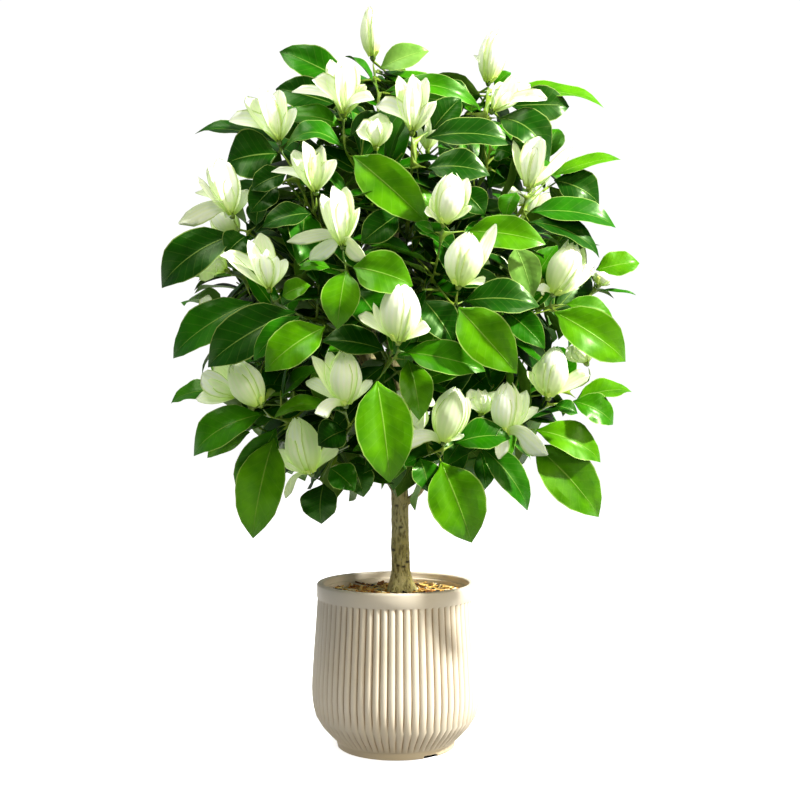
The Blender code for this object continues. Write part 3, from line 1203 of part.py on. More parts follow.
def grow_fill_leaf(name, stem, distance, angle, body, placed):
    """A leaf that the rule places on a stem, turned and shortened until it clears everything."""
    root, ahead = stem.at(distance)
    side = across_of(ahead)
    for attempt in range(FILL_TRIES):
        turned = angle + attempt * 0.55
        spread = math.radians(62 - 9 * (attempt % 3))
        reach = (side * math.cos(turned) + ahead.cross(side) * math.sin(turned)) * math.sin(spread)
        reach = (reach + ahead * math.cos(spread) + Vector((0, 0, 0.10))).normalized()
        length = FILL_LENGTH * (1.08 - 0.16 * (attempt % 4))
        tip = root + (reach + Vector((0, 0, -0.25))).normalized() * length
        if not inside_crown(tip):
            continue
        above = root + Vector((0, 0, 1)) + (root - HEART).normalized() * 0.6
        sections = leaf_sections(root, tip, length * FILL_ASPECT, 0.0, length * 0.08, above, petiole=False)
        keys = stem.open_sockets(body, distance, sum(sections[0], Vector()) / 4)[:3]
        if grow_leaf(name, body, keys, sections, tip, placed):
            return True
    return False


def inside_crown(tip):
    """Whether a rule's leaf stays within the crown's outline."""
    reach = tip - FAR_MIDDLE
    return sum((reach[i] / CROWN_LIMIT[i]) ** 2 for i in range(3)) < 1


def make_blooms(plans, material, placed):
    number = 0
    for plan in plans.values():
        for bloom, _, flower in plan["ends"]:
            if not bloom:
                continue
            number += 1
            base, tip = flower[0], flower[1]
            if bloom in BLOOMS:
                away = (base - EYE).normalized()
            else:
                away = (FAR_MIDDLE - base).normalized()
            body = bloom_body(bloom, *flower, 0.9 * number, away)
            hit = placed.hits(body, lambda owner, kind: False)
            if hit:
                print("bloom crosses", bloom, sorted(hit))
            placed.add(bloom, "bloom", body)
            grown_object(bloom, *body, material)


def lay_stems(name, stems, placed):
    """The body of a shoot before its leaves."""
    body = Body()
    main = stems[0]
    main.lay(body)
    for stem in stems[1:]:
        for key in main.open_sockets(body, stem.leave, stem.at(0.02)[0]):
            stem.follow([body.middle(body.sockets[key])] + stem.path[1:])
            if stem.lay(body, key):
                break
        else:
            print("no room for a stem of", name)
            stem.nodes = []
    for stem in stems:
        hit = placed.hits(stem.piece(), lambda owner, kind: owner == name)
        if hit:
            print("stem crosses", name, sorted(hit))
        placed.add(name, "stem", stem.piece())
    return body


def grown_object(name, points, faces, material):
    """The object of a grown body, with its faces turned outwards."""
    mesh = bmesh.new()
    corners = [mesh.verts.new(point) for point in points]
    for face in faces:
        mesh.faces.new([corners[k] for k in face])
    return finish_mesh(name, mesh, material)


def build():
    clear_scene()
    plastic = make_material("cream_plastic", (0.80, 0.74, 0.60), 0.55)
    earth = make_material("dark_soil", (0.030, 0.020, 0.012), 0.95)
    chips = make_material("wood_chips", (0.58, 0.27, 0.06), 0.85)
    bark = make_material("bark", (0.20, 0.16, 0.09), 0.85)
    green = make_material("leaf_green", (0.045, 0.22, 0.01), 0.35)
    petal = make_material("white_petal", (0.90, 0.92, 0.78), 0.50)
    make_pot(plastic)
    make_soil(earth)
    make_mulch(chips)
    placed = Placed()
    plans = plan_shoots()
    make_blooms(plans, petal, placed)
    make_wood(bark, [seat_of(plan["head"]) for plan in plans.values()], placed)
    shoots = {name: plan_stems(plan) for name, plan in plans.items()}
    plan_nodes(shoots)
    bodies = {name: lay_stems(name, stems, placed) for name, stems in shoots.items()}
    for row in LEAVES:
        if not grow_near_leaf(row, shoots, bodies, placed):
            print("no room for the leaf at", row[0], row[1], row[2])
    grown = 0
    for name, stems in shoots.items():
        for order, stem in enumerate(stems):
            for number, distance in enumerate(stem.fill if stem.nodes else []):
                angle = GOLDEN_TURN * (number + 3 * order)
                grown += grow_fill_leaf(name, stem, distance, angle, bodies[name], placed)
    print("leaves from the rule:", grown)
    for name, body in bodies.items():
        body.close()
        grown_object(name, body.points, body.faces, green)


build()
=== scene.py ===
# A white champaca in a ribbed pot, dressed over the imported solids.
import math
import random

import bmesh
import bpy
from mathutils import Matrix, Vector, noise
from mathutils.bvhtree import BVHTree


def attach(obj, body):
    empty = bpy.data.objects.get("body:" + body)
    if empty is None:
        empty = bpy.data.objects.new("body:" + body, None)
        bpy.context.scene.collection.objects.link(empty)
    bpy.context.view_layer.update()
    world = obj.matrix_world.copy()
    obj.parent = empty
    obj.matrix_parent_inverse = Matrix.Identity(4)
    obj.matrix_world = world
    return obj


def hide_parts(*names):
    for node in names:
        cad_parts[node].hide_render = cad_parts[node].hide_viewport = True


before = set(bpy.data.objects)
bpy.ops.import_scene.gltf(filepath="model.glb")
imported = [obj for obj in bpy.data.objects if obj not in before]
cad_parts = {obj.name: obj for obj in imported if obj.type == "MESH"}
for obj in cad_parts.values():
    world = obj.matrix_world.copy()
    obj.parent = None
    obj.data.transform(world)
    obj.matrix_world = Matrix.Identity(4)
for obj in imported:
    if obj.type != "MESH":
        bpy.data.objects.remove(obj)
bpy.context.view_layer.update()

fullTurn = 2 * math.pi
goldenTurn = math.radians(137.508)
up = Vector((0, 0, 1))


# Helpers

def hexToLinear(code):
    parts = [int(code[k:k + 2], 16) / 255 for k in (1, 3, 5)]
    return tuple(c / 12.92 if c <= 0.04045 else ((c + 0.055) / 1.055) ** 2.4 for c in parts) + (1.0,)


def addNode(tree, kind, *inputs, out=0, **settings):
    # fields and inputs by name, then inputs in their order; a socket is linked, None leaves an input as it is
    node = tree.nodes.new("ShaderNode" + kind)
    for name, value in [*settings.items(), *enumerate(inputs)]:
        if isinstance(value, bpy.types.NodeSocket):
            tree.links.new(value, node.inputs[name])
        elif name in settings and name not in node.inputs:
            setattr(node, name, value)
        elif value is not None:
            node.inputs[name].default_value = value
    return node.outputs[out]


def newObject(name, mesh):
    data = bpy.data.meshes.new(name)
    mesh.to_mesh(data)
    mesh.free()
    made = bpy.data.objects.new(name, data)
    bpy.context.scene.collection.objects.link(made)
    return made


def newPiece(name, node, mesh, materials, sharp):
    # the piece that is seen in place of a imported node
    piece = newObject(name, mesh)
    for material in materials:
        piece.data.materials.append(material)
    piece.data.shade_smooth()
    piece.data.set_sharp_from_angle(angle=math.radians(sharp))
    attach(piece, "root")
    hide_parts(node)


def modified(mesh, *modifiers):
    # the mesh after these modifiers, by way of an object that is thrown away
    carrier = newObject("carrier", mesh)
    for kind, settings in modifiers:
        modifier = carrier.modifiers.new(kind, kind)
        for name, value in settings.items():
            setattr(modifier, name, value)
    graph = bpy.context.evaluated_depsgraph_get()
    result = bmesh.new()
    result.from_mesh(bpy.data.meshes.new_from_object(carrier.evaluated_get(graph)))
    bpy.data.objects.remove(carrier)
    return result


def blended(rows, t):
    # smooth value at t from rows of (t, value)
    for (low, start), (high, end) in zip(rows, rows[1:]):
        if t <= high:
            share = (t - low) / (high - low)
            share = share * share * (3 - 2 * share) * 0.5 + share * 0.5
            return start + (end - start) * share
    return rows[-1][1]


def squared(way, along):
    # the part of a way that is square to another
    return (way - along * way.dot(along)).normalized()


def paintFaces(faces, materialIndex):
    for face in faces:
        face.material_index = materialIndex
        face.smooth = True


def around(axis, turn):
    # the way out from an axis, at this turn about it
    across = axis.orthogonal().normalized()
    return across * math.cos(turn) + axis.cross(across) * math.sin(turn)


# Materials: each has a first colour, and others laid over it

def newMaterial(name, sockets):
    material = bpy.data.materials.new(name)
    material.use_nodes = True
    surface = material.node_tree.nodes["Principled BSDF"]
    for socket, value in sockets.items():
        surface.inputs[socket].default_value = value
    return material, material.node_tree, addNode(material.node_tree, "TexCoord", out="Object")


def layered(tree, colour, layers):
    # a layer: its colour, the socket that places it, the span read there, its share at both ends, the blend
    for over, source, low, high, start, end, blend in layers:
        share = addNode(tree, "MapRange", source, low, high, start, end)
        below = hexToLinear(colour) if isinstance(colour, str) else colour
        colour = addNode(tree, "Mix", share, *[None] * 5, below, hexToLinear(over), out=2, data_type="RGBA",
                         blend_type=blend)
    return colour


def finish(material, colour, height, distance, strength=1.0):
    # the colour, and the relief, whose distance is in metres
    tree = material.node_tree
    surface = tree.nodes["Principled BSDF"]
    tree.links.new(colour, surface.inputs["Base Color"])
    if distance:
        normal = addNode(tree, "Bump", Strength=strength, Distance=distance, Height=height)
        tree.links.new(normal, surface.inputs["Normal"])
    return material


def makeCreamPlastic():
    # injection-moulded polypropylene, matte, with a faint orange-peel skin
    material, tree, place = newMaterial("creamPolypropyleneMoulded", {"Roughness": 0.52, "IOR": 1.49})
    cloudy = addNode(tree, "TexNoise", place, Scale=9.0, Detail=3.0)
    height = addNode(tree, "SeparateXYZ", place, out="Z")
    grooveShade = addNode(tree, "Attribute", attribute_name="grooveShade", out="Fac")
    skin = addNode(tree, "TexNoise", place, Scale=900.0, Detail=2.0)
    colour = layered(tree, "#eaddc2", [
        ("#f3ead6", cloudy, 0.3, 0.7, 0.0, 1.0, "MIX"),
        ("#e2c68c", height, 0.0, 0.065, 0.62, 0.0, "MIX"),  # warmer towards the foot
        ("#9a7236", grooveShade, 0.0, 1.0, 0.0, 0.92, "MIX"),  # painted shade that darkens and warms the floor of each groove
    ])
    return finish(material, colour, skin, 0.00006, 0.6)


def makeChipMaterial():
    # chipped pine bark: each chip has its own tone, with grain lines along it
    material, tree, place = newMaterial("pineBarkChipped", {"Roughness": 0.72})
    tone = addNode(tree, "Attribute", attribute_name="tone", out="Color")
    drawn = addNode(tree, "Mapping", place, Scale=(1, 0.35, 1))
    grain = addNode(tree, "TexNoise", drawn, Scale=420.0, Detail=5.0)
    colour = layered(tree, tone, [("#3a2210", grain, 0.35, 0.7, 0.0, 0.55, "MULTIPLY")])
    return finish(material, colour, grain, 0.0008)


def makeBarkMaterial():
    # young champaca bark: grey-olive, finely cracked, dotted with corky lenticels
    material, tree, place = newMaterial("champacaBarkYoung", {"Roughness": 0.82})
    tall, taller, flat = [addNode(tree, "Mapping", place, Scale=(1, 1, rise)) for rise in (0.5, 0.35, 1.7)]
    broad = addNode(tree, "TexNoise", tall, Scale=34.0, Detail=4.0)
    fine = addNode(tree, "TexNoise", taller, Scale=330.0, Detail=6.0)
    dots = addNode(tree, "TexVoronoi", flat, Scale=190.0, out="Distance")
    shadedScar = addNode(tree, "Attribute", attribute_name="shadedScar", out="Fac")
    colour = layered(tree, "#b8ad5a", [
        ("#e6dda0", broad, 0.35, 0.65, 0.0, 1.0, "MIX"),
        ("#7f7644", fine, 0.36, 0.52, 1.0, 0.0, "MIX"),
        ("#cdc19c", dots, 0.16, 0.26, 0.7, 0.0, "MIX"),
        ("#1c160a", shadedScar, 0.0, 1.0, 0.0, 1.0, "MIX"),  # old leaf scars, painted nearly black for the shade in their pits
    ])
    corky = addNode(tree, "MapRange", dots, 0.16, 0.26, 0.5, 0.0)
    return finish(material, colour, addNode(tree, "Math", fine, corky, operation="ADD"), 0.0005)


def makeTwigMaterial():
    # green shoot: smooth, slightly waxy, yellower in places
    material, tree, place = newMaterial("greenShootWaxy", {"Roughness": 0.42, "IOR": 1.42})
    cloudy = addNode(tree, "TexNoise", place, Scale=60.0, Detail=3.0)
    drawn = addNode(tree, "Mapping", place, Scale=(1, 1, 0.4))
    lines = addNode(tree, "TexNoise", drawn, Scale=500.0, Detail=3.0)
    colour = layered(tree, "#44690f", [("#8aa52c", cloudy, 0.35, 0.65, 0.0, 1.0, "MIX")])
    return finish(material, colour, lines, 0.0003)


def bladeSockets(tree):
    # a blade's tone, how far along it, how far across it, and how far from its middle line
    blade = addNode(tree, "UVMap", uv_map="blade")
    across = addNode(tree, "SeparateXYZ", blade, out="X")
    off = addNode(tree, "Math", across, 0.5, operation="SUBTRACT")
    off = addNode(tree, "Math", off, operation="ABSOLUTE")
    tone = addNode(tree, "Attribute", attribute_name="tone", out="Color")
    return tone, addNode(tree, "SeparateXYZ", blade, out="Y"), across, off


def makeLeafMaterial(name, underside):
    # leathery blade with a waxy cuticle: a pale rib, finer side veins, and a thin pale margin that is a
    # painted highlight where light catches the blade's edge
    material, tree, place = newMaterial(name, {
        "Roughness": 0.60 if underside else 0.36, "IOR": 1.42, "Coat Weight": 0.0 if underside else 0.08,
        "Coat Roughness": 0.22, "Specular IOR Level": 0.16 if underside else 0.36,
        "Specular Tint": hexToLinear("#a8e060")})
    tone, along, _, off = bladeSockets(tree)
    cloudy = addNode(tree, "TexNoise", place, Scale=40.0, Detail=3.0)
    # the rib is about 2 mm wide at the base of a 45 mm blade, and narrows to the tip
    rib = addNode(tree, "MapRange", along, 0.0, 1.0, 0.026, 0.008)
    rib = addNode(tree, "Math", off, rib, operation="DIVIDE")
    rib = addNode(tree, "Math", 1.0, rib, operation="SUBTRACT", use_clamp=True)
    # side veins leave the rib every 10 mm of a 90 mm blade and bend towards the tip
    lean = addNode(tree, "Math", off, 0.8, operation="POWER")
    lean = addNode(tree, "Math", lean, -3.4, operation="MULTIPLY")
    wave = addNode(tree, "Math", along, 9.0, lean, operation="MULTIPLY_ADD")
    wave = addNode(tree, "Math", wave, operation="FRACT")
    wave = addNode(tree, "Math", wave, 0.5, operation="SUBTRACT")
    wave = addNode(tree, "Math", wave, operation="ABSOLUTE")
    colour = layered(tree, tone, [
        ("#7fa86a", cloudy, 0.3, 0.7, 0.0, 0.75, "MULTIPLY"),
        ("#a9cf5a", wave, 0.0, 0.06, 0.07, 0.0, "MIX"),
        ("#b4d860", rib, 0.0, 1.0, 0.0, 0.45, "MIX"),
        # painted highlight: a thin pale line along the margin, for light caught on the edge
        ("#cbe67a", off, 0.470, 0.488, 0.0, 0.42, "MIX"),
    ])
    if underside:
        colour = layered(tree, colour, [("#7fa63a", 1.0, 0.0, 1.0, 0.0, 0.38, "MIX")])
    swell = addNode(tree, "Math", rib, -0.6, operation="MULTIPLY")
    swell = addNode(tree, "Math", wave, 0.30, swell, operation="MULTIPLY_ADD")
    swell = addNode(tree, "Math", cloudy, 1.8, swell, operation="MULTIPLY_ADD")
    return finish(material, colour, swell, 0.0004)


def makePetalMaterial():
    # fleshy cream-white tepal with a satin skin: green-yellow at its foot, faint ribs along it whose
    # green-grey stripes are partly painted shade, and a painted glow
    material, tree, place = newMaterial("tepalFleshSatin", {
        "Roughness": 0.46, "IOR": 1.40, "Subsurface Weight": 0.22, "Subsurface Scale": 0.004,
        "Subsurface Radius": (1.0, 1.0, 0.6), "Emission Strength": 0.225})
    tone, along, across, off = bladeSockets(tree)
    foot = addNode(tree, "MapRange", along, 0.03, 0.50, 1.0, 0.0)
    foot = addNode(tree, "Math", foot, 1.4, operation="POWER")
    ribs = addNode(tree, "Math", across, 34.0, operation="MULTIPLY")
    ribs = addNode(tree, "Math", ribs, operation="SINE")
    colour = layered(tree, tone, [
        ("#bcd84e", foot, 0.0, 1.0, 0.0, 1.0, "MIX"),
        # faint ribs along the tepal, their green-grey stripes partly painted shade in the flutes
        ("#c6de92", ribs, -1.0, 1.0, 0.0, 0.20, "MIX"),
        ("#b4c660", off, 0.425, 0.482, 0.0, 0.85, "MIX"),
    ])
    # painted glow: emission that stands in for the light coming through the petals from behind
    glow = layered(tree, colour, [("#c4e68c", 1.0, 0.0, 1.0, 0.0, 0.75, "MULTIPLY")])
    tree.links.new(glow, tree.nodes["Principled BSDF"].inputs["Emission Color"])
    return finish(material, colour, ribs, 0.00012, 0.8)


def makeTwoToned(name, sockets, first, second, scale, detail, distance):
    # two tones of one noise, which is also the relief where there is any
    material, tree, place = newMaterial(name, sockets)
    cloudy = addNode(tree, "TexNoise", place, Scale=scale, Detail=detail)
    colour = layered(tree, first, [(second, cloudy, 0.0, 1.0, 0.0, 1.0, "MIX")])
    return finish(material, colour, cloudy, distance)


creamPlastic = makeCreamPlastic()
barkChips = makeChipMaterial()
bark = makeBarkMaterial()
greenShoot = makeTwigMaterial()
bladeTop = makeLeafMaterial("leafCuticleWaxy", False)
bladeUnder = makeLeafMaterial("leafUndersideMatte", True)
tepal = makePetalMaterial()
# damp potting peat
pottingPeat = makeTwoToned("pottingPeatDamp", {"Roughness": 0.95}, "#1c130b", "#3f2d1b", 300.0, 6.0, 0.002)
# green-yellow carpels, velvety
velvety = {"Roughness": 0.7, "Sheen Weight": 0.3}
carpel = makeTwoToned("carpelVelvety", velvety, "#a9bf2b", "#e6e079", 900.0, 3.0, 0.0004)
# white acrylic table, lit a little from below
acrylic = {"Roughness": 0.9, "Specular IOR Level": 0.1, "Emission Color": hexToLinear("#ffffff"),
           "Emission Strength": 0.78}
paleTable = makeTwoToned("paleStudioTable", acrylic, "#fbfbfa", "#ffffff", 40.0, 3.0, 0.0)
# painted shadow: a near-black disc that stands for the dark under the pot
shadowSheet = {"Roughness": 0.95, "Specular IOR Level": 0.1}
paintedShadowDisc = makeTwoToned("paintedShadowUnderPot", shadowSheet, "#050403", "#14110d", 700.0, 3.0, 0.0)
print("materials made")


# Camera, floor and light

studio = {
    "eye": (0.005, -1.55, 0.435),  # metres
    "lens": 55.1, "sensor": 36,  # mm
    "floor": (9, 96, -0.0005), "underPot": (0.0715, 64, -0.0002),  # radius, segments, height
    "aim": (0, 0, 0.5),
    # turn and rise in degrees, distance, size, watts, colour
    "key": (68, 40, 2.6, 0.20, 168, "#fffefc"),
    "side": (-48, 60, 3.0, 1.6, 58, "#fffdf8"),
    "fill": (44, 18, 3.0, 1.2, 30, "#fff3da"),
    "backdropTone": "#ffffff", "ambient": 0.23, "backdrop": 1.04,
}


def makeStudio():
    camera = bpy.data.cameras.new("camera")
    camera.lens = studio["lens"]
    camera.sensor_width = studio["sensor"]
    holder = bpy.data.objects.new("camera", camera)
    holder.location = studio["eye"]
    holder.rotation_euler = (math.radians(90), 0, 0)
    bpy.context.scene.collection.objects.link(holder)
    bpy.context.scene.camera = holder

    # the table, and a near-black disc under the pot: painted shadow for the dark under the foot, which the
    # foot's notches show
    for name, material in (("floor", paleTable), ("underPot", paintedShadowDisc)):
        radius, segments, height = studio[name]
        mesh = bmesh.new()
        bmesh.ops.create_circle(mesh, cap_ends=True, radius=radius, segments=segments)
        bmesh.ops.translate(mesh, verts=mesh.verts, vec=(0, 0, height))
        disc = newObject(name, mesh)
        disc.data.materials.append(material)
        disc.visible_diffuse = name != "floor"

    for name in ("key", "side", "fill"):
        turn, rise, distance, size, power, colour = studio[name]
        light = bpy.data.lights.new(name, "AREA")
        light.shape = "DISK"
        light.size = size
        light.energy = power
        light.color = hexToLinear(colour)[:3]
        lamp = bpy.data.objects.new(name, light)
        turn, rise = math.radians(turn), math.radians(rise)
        way = Vector((math.sin(turn) * math.cos(rise), -math.cos(turn) * math.cos(rise), math.sin(rise)))
        lamp.location = Vector(studio["aim"]) + way * distance
        lamp.rotation_euler = way.to_track_quat("Z", "Y").to_euler()
        bpy.context.scene.collection.objects.link(lamp)

    world = bpy.data.worlds.new("studio")
    world.use_nodes = True
    background = world.node_tree.nodes["Background"]
    background.inputs["Color"].default_value = hexToLinear(studio["backdropTone"])
    seen = addNode(world.node_tree, "LightPath", out="Is Camera Ray")
    strength = addNode(world.node_tree, "MapRange", seen, 0.0, 1.0, studio["ambient"], studio["backdrop"])
    world.node_tree.links.new(strength, background.inputs["Strength"])
    bpy.context.scene.world = world
    bpy.context.scene.view_settings.view_transform = "Standard"


makeStudio()
print("studio ready")


# Pot

pot = {
    "ribs": 68, "columnsPerRib": 10, "ribDepth": 0.0031, "ribCurve": 2.6, "shadeFrom": 0.72,
    "rim": 0.100, "rimHeight": 0.205, "band": 0.018, "lipInner": 0.0915, "lipRound": 0.0026, "lipSteps": 6,
    "belly": 0.1063, "bellyHeight": 0.072, "foot": 0.0747, "footHeight": 0.0085, "drain": 0.008,
    "ribsFrom": (0.0745, 0.009),  # reach and height where the ribs can start
    # what reaches less is the inside: a fixed reach above the floor's top, a sloping one below it
    "innerReach": 0.0972, "floorReach": 0.074, "floorSlope": 0.9, "floorTop": 0.05,
    "notchWide": 0.020, "notchHigh": 0.0034, "notchInner": 0.0695, "notchTurns": (-55, 65, 185),
}


def potOutline():
    # rows of radius, height and share of the rib's depth: foot ring, ribbed side, then the rim and the inside
    high, foot, footTop = pot["rimHeight"], pot["foot"], pot["footHeight"]
    bandFoot = high - pot["band"]
    ring = [(pot["drain"], 0.003, 0), (0.0690, 0.003, 0), (0.0700, 0.0005, 0), (0.0712, 0.0, 0),
            (0.0733, 0.0, 0), (0.0744, 0.0008, 0), (foot, 0.0025, 0), (foot, footTop - 0.0006, 0)]
    side = [(0.0757, footTop + 0.0006, 0), (0.0790, 0.0112, 0.5), (0.0848, 0.0172, 1), (0.0935, 0.0268, 1),
            (0.1010, 0.0390, 1), (0.1045, 0.0510, 1), (0.1059, 0.0620, 1),
            (pot["belly"], pot["bellyHeight"], 1), (0.1060, 0.085, 1), (0.1051, 0.100, 1), (0.1040, 0.117, 1),
            (0.1028, 0.134, 1), (0.1015, 0.151, 1), (0.1003, 0.168, 1), (0.0996, bandFoot - 0.0060, 1),
            (0.0994, bandFoot - 0.0024, 1), (0.0993, bandFoot - 0.0010, 0.70), (0.0996, bandFoot, 0)]
    rim, inner, lip = pot["rim"], pot["lipInner"], pot["lipRound"]
    quarter = [math.radians(90 * k / pot["lipSteps"]) for k in range(pot["lipSteps"] + 1)]
    rest = [(rim - 0.0004, bandFoot + 0.0002, 0), (rim, bandFoot + 0.0008, 0)]
    rest += [(rim - lip + lip * math.cos(turn), high - lip + lip * math.sin(turn), 0) for turn in quarter]
    rest += [(inner + lip - lip * math.sin(turn), high - lip + lip * math.cos(turn), 0) for turn in quarter]
    rest += [(inner, high - 0.0075, 0), (0.0912, high - 0.0082, 0), (0.0890, high - 0.0085, 0),
             (0.0886, high - 0.0092, 0), (0.0945, 0.176, 0), (0.0996, pot["bellyHeight"], 0),
             (0.0730, 0.0125, 0), (0.0660, 0.007, 0), (pot["drain"], 0.007, 0)]
    return ring, side, rest


def onRibs(reach, height):
    # true on the ribbed outside, and false on the foot, the band and the inside
    leastReach, leastHeight = pot["ribsFrom"]
    if reach < leastReach or height < leastHeight or height > pot["rimHeight"] - pot["band"]:
        return False
    if height > pot["floorTop"]:
        return reach >= pot["innerReach"]
    return reach >= pot["floorReach"] + pot["floorSlope"] * (height - pot["footHeight"])


def makePot():
    ring, side, rest = potOutline()
    mesh = bmesh.new()
    corners = [mesh.verts.new((radius, 0, height)) for radius, height, _ in ring + side + rest]
    line = [mesh.edges.new(pair) for pair in zip(corners, corners[1:] + corners[:1])]
    bmesh.ops.spin(mesh, geom=corners + line, cent=(0, 0, 0), axis=(0, 0, 1), angle=fullTurn,
                   steps=pot["ribs"] * pot["columnsPerRib"], use_merge=True)
    bmesh.ops.remove_doubles(mesh, verts=mesh.verts, dist=1e-6)
    bmesh.ops.recalc_face_normals(mesh, faces=mesh.faces)
    shares = [(height, share) for _, height, share in side]
    turns = [math.radians(turn) for turn in pot["notchTurns"]]
    ways = [Vector((math.cos(turn), math.sin(turn), 0)) for turn in turns]
    grooveShades = mesh.verts.layers.float.new("grooveShade")
    for corner in mesh.verts:
        reach = Vector((corner.co.x, corner.co.y, 0))
        if reach.length > pot["notchInner"] and corner.co.z < pot["notchHigh"] and any(
                reach.dot(way) > 0 and reach.cross(way).length < pot["notchWide"] / 2 for way in ways):
            corner.co.z = pot["notchHigh"]
        if onRibs(reach.length, corner.co.z):
            share = blended(shares, corner.co.z)
            place = (math.atan2(corner.co.y, corner.co.x) / fullTurn * pot["ribs"]) % 1.0
            off = abs(2 * place - 1)
            corner.co -= reach.normalized() * pot["ribDepth"] * share * off ** pot["ribCurve"]
            # painted shade: the floor of each groove gets a darker, warmer tone
            corner[grooveShades] = share * max(0.0, (off - pot["shadeFrom"]) / (1 - pot["shadeFrom"])) ** 1.5
    newPiece("ribbedPot", "pot", mesh, [creamPlastic], 50)


makePot()
print("pot made")


# Soil and mulch

mulch = {
    "chips": 950, "length": 0.0125, "width": 0.0030, "thickness": 0.0016, "grown": (0.55, 1.25),
    "slim": (0.6, 1.2), "skew": 0.35, "ragged": (0.12, 0.16, 0.25), "pitch": 0.32, "roll": 0.5,
    "level": 0.1892, "uneven": (-0.0022, 0.0034), "heap": 0.0026, "spread": 0.0855, "edge": 0.0885,
    "bedRadius": 0.0915, "bedFoot": 0.1826, "bedThickness": 0.0045, "bedTone": "#2a1a0d",
    "tones": ["#ffd46e", "#ffe89c", "#f2b450", "#d8953a", "#fff6cc", "#8a5820", "#fcd478", "#2c1a0a"],
    "seed": 3,
}


def makeMulch():
    rng = random.Random(mulch["seed"])
    mesh = bmesh.new()
    tones = mesh.loops.layers.float_color.new("tone")

    def paint(faces, code):
        colour = hexToLinear(code)
        for face in faces:
            for loop in face.loops:
                loop[tones] = colour

    # a dark bed that fills the pot under the chips
    bmesh.ops.create_circle(mesh, cap_ends=True, cap_tris=False, radius=mulch["bedRadius"], segments=48)
    risen = bmesh.ops.extrude_face_region(mesh, geom=list(mesh.faces))
    top = [item for item in risen["geom"] if isinstance(item, bmesh.types.BMVert)]
    bmesh.ops.translate(mesh, verts=top, vec=(0, 0, mulch["bedThickness"]))
    bmesh.ops.translate(mesh, verts=mesh.verts, vec=(0, 0, mulch["bedFoot"]))
    bmesh.ops.recalc_face_normals(mesh, faces=mesh.faces)
    paint(mesh.faces, mulch["bedTone"])
    for number in range(mulch["chips"]):
        share = math.sqrt((number + 0.6) / mulch["chips"])
        turn = goldenTurn * number
        reach = mulch["spread"] * share + rng.uniform(-0.002, 0.002)
        grown = rng.uniform(*mulch["grown"])
        size = (mulch["length"] * grown, mulch["width"] * grown * rng.uniform(*mulch["slim"]),
                mulch["thickness"] * grown)
        reach = min(reach, mulch["edge"] - size[0] * 0.35)
        height = mulch["level"] + rng.uniform(*mulch["uneven"]) + mulch["heap"] * (1 - share)
        made = bmesh.ops.create_cube(mesh, size=1)["verts"]
        bmesh.ops.scale(mesh, verts=made, vec=size)
        for corner in made:
            corner.co.x += mulch["skew"] * corner.co.y
            corner.co += Vector([rng.uniform(-k, k) * long for k, long in zip(mulch["ragged"], size)])
        turned = (Matrix.Translation((reach * math.cos(turn), reach * math.sin(turn), height))
                  @ Matrix.Rotation(rng.uniform(0, math.pi), 4, "Z")
                  @ Matrix.Rotation(rng.uniform(-mulch["pitch"], mulch["pitch"]), 4, "Y")
                  @ Matrix.Rotation(rng.uniform(-mulch["roll"], mulch["roll"]), 4, "X"))
        bmesh.ops.transform(mesh, matrix=turned, verts=made)
        paint({face for corner in made for face in corner.link_faces}, rng.choice(mulch["tones"]))
    newPiece("barkMulch", "mulch", mesh, [barkChips], 30)


makeMulch()
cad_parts["soil"].data.materials.clear()
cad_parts["soil"].data.materials.append(pottingPeat)
print("mulch made")


# Reading the solids: each leaf and petal is found again from its tip

packedLeaf = {
    "shortest": 0.006,  # of a tip's edges
    "rib": 0.66,  # how far along the leaf the section next to its tip is
    "half": 0.40, "fold": 22,  # that section's half width to the leaf's width, and its fold in degrees
}


def mergedCopy(name):
    mesh = bmesh.new()
    mesh.from_mesh(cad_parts[name].data)
    bmesh.ops.remove_doubles(mesh, verts=mesh.verts, dist=1e-5)
    return mesh


def neighbours(corner):
    return [edge.other_vert(corner) for edge in corner.link_edges]


def middleOf(corners):
    return sum((corner.co for corner in corners), Vector()) / len(corners)


def widestPair(ring):
    pairs = [(a, b) for k, a in enumerate(ring) for b in ring[k + 1:]]
    return max(pairs, key=lambda pair: (pair[0].co - pair[1].co).length)


def isTip(corner, sides, shortest):
    # a pointed end: this many edges, none short, all leaving within a narrow cone
    if len(corner.link_edges) != sides or min(edge.calc_length() for edge in corner.link_edges) < shortest:
        return False
    ways = [(other.co - corner.co).normalized() for other in neighbours(corner)]
    middle = sum(ways, Vector())
    return middle.length > 0.5 and min(way.dot(middle.normalized()) for way in ways) > 0.5


def ringsBelow(tip, count):
    # the sections below a tip, one after the other
    rings = [neighbours(tip)]
    before = [tip]
    for _ in range(count - 1):
        found = {other for corner in rings[-1] for other in neighbours(corner)}
        ring = [corner for corner in found if corner not in rings[-1] and corner not in before]
        before = rings[-1]
        rings.append(ring)
    return rings


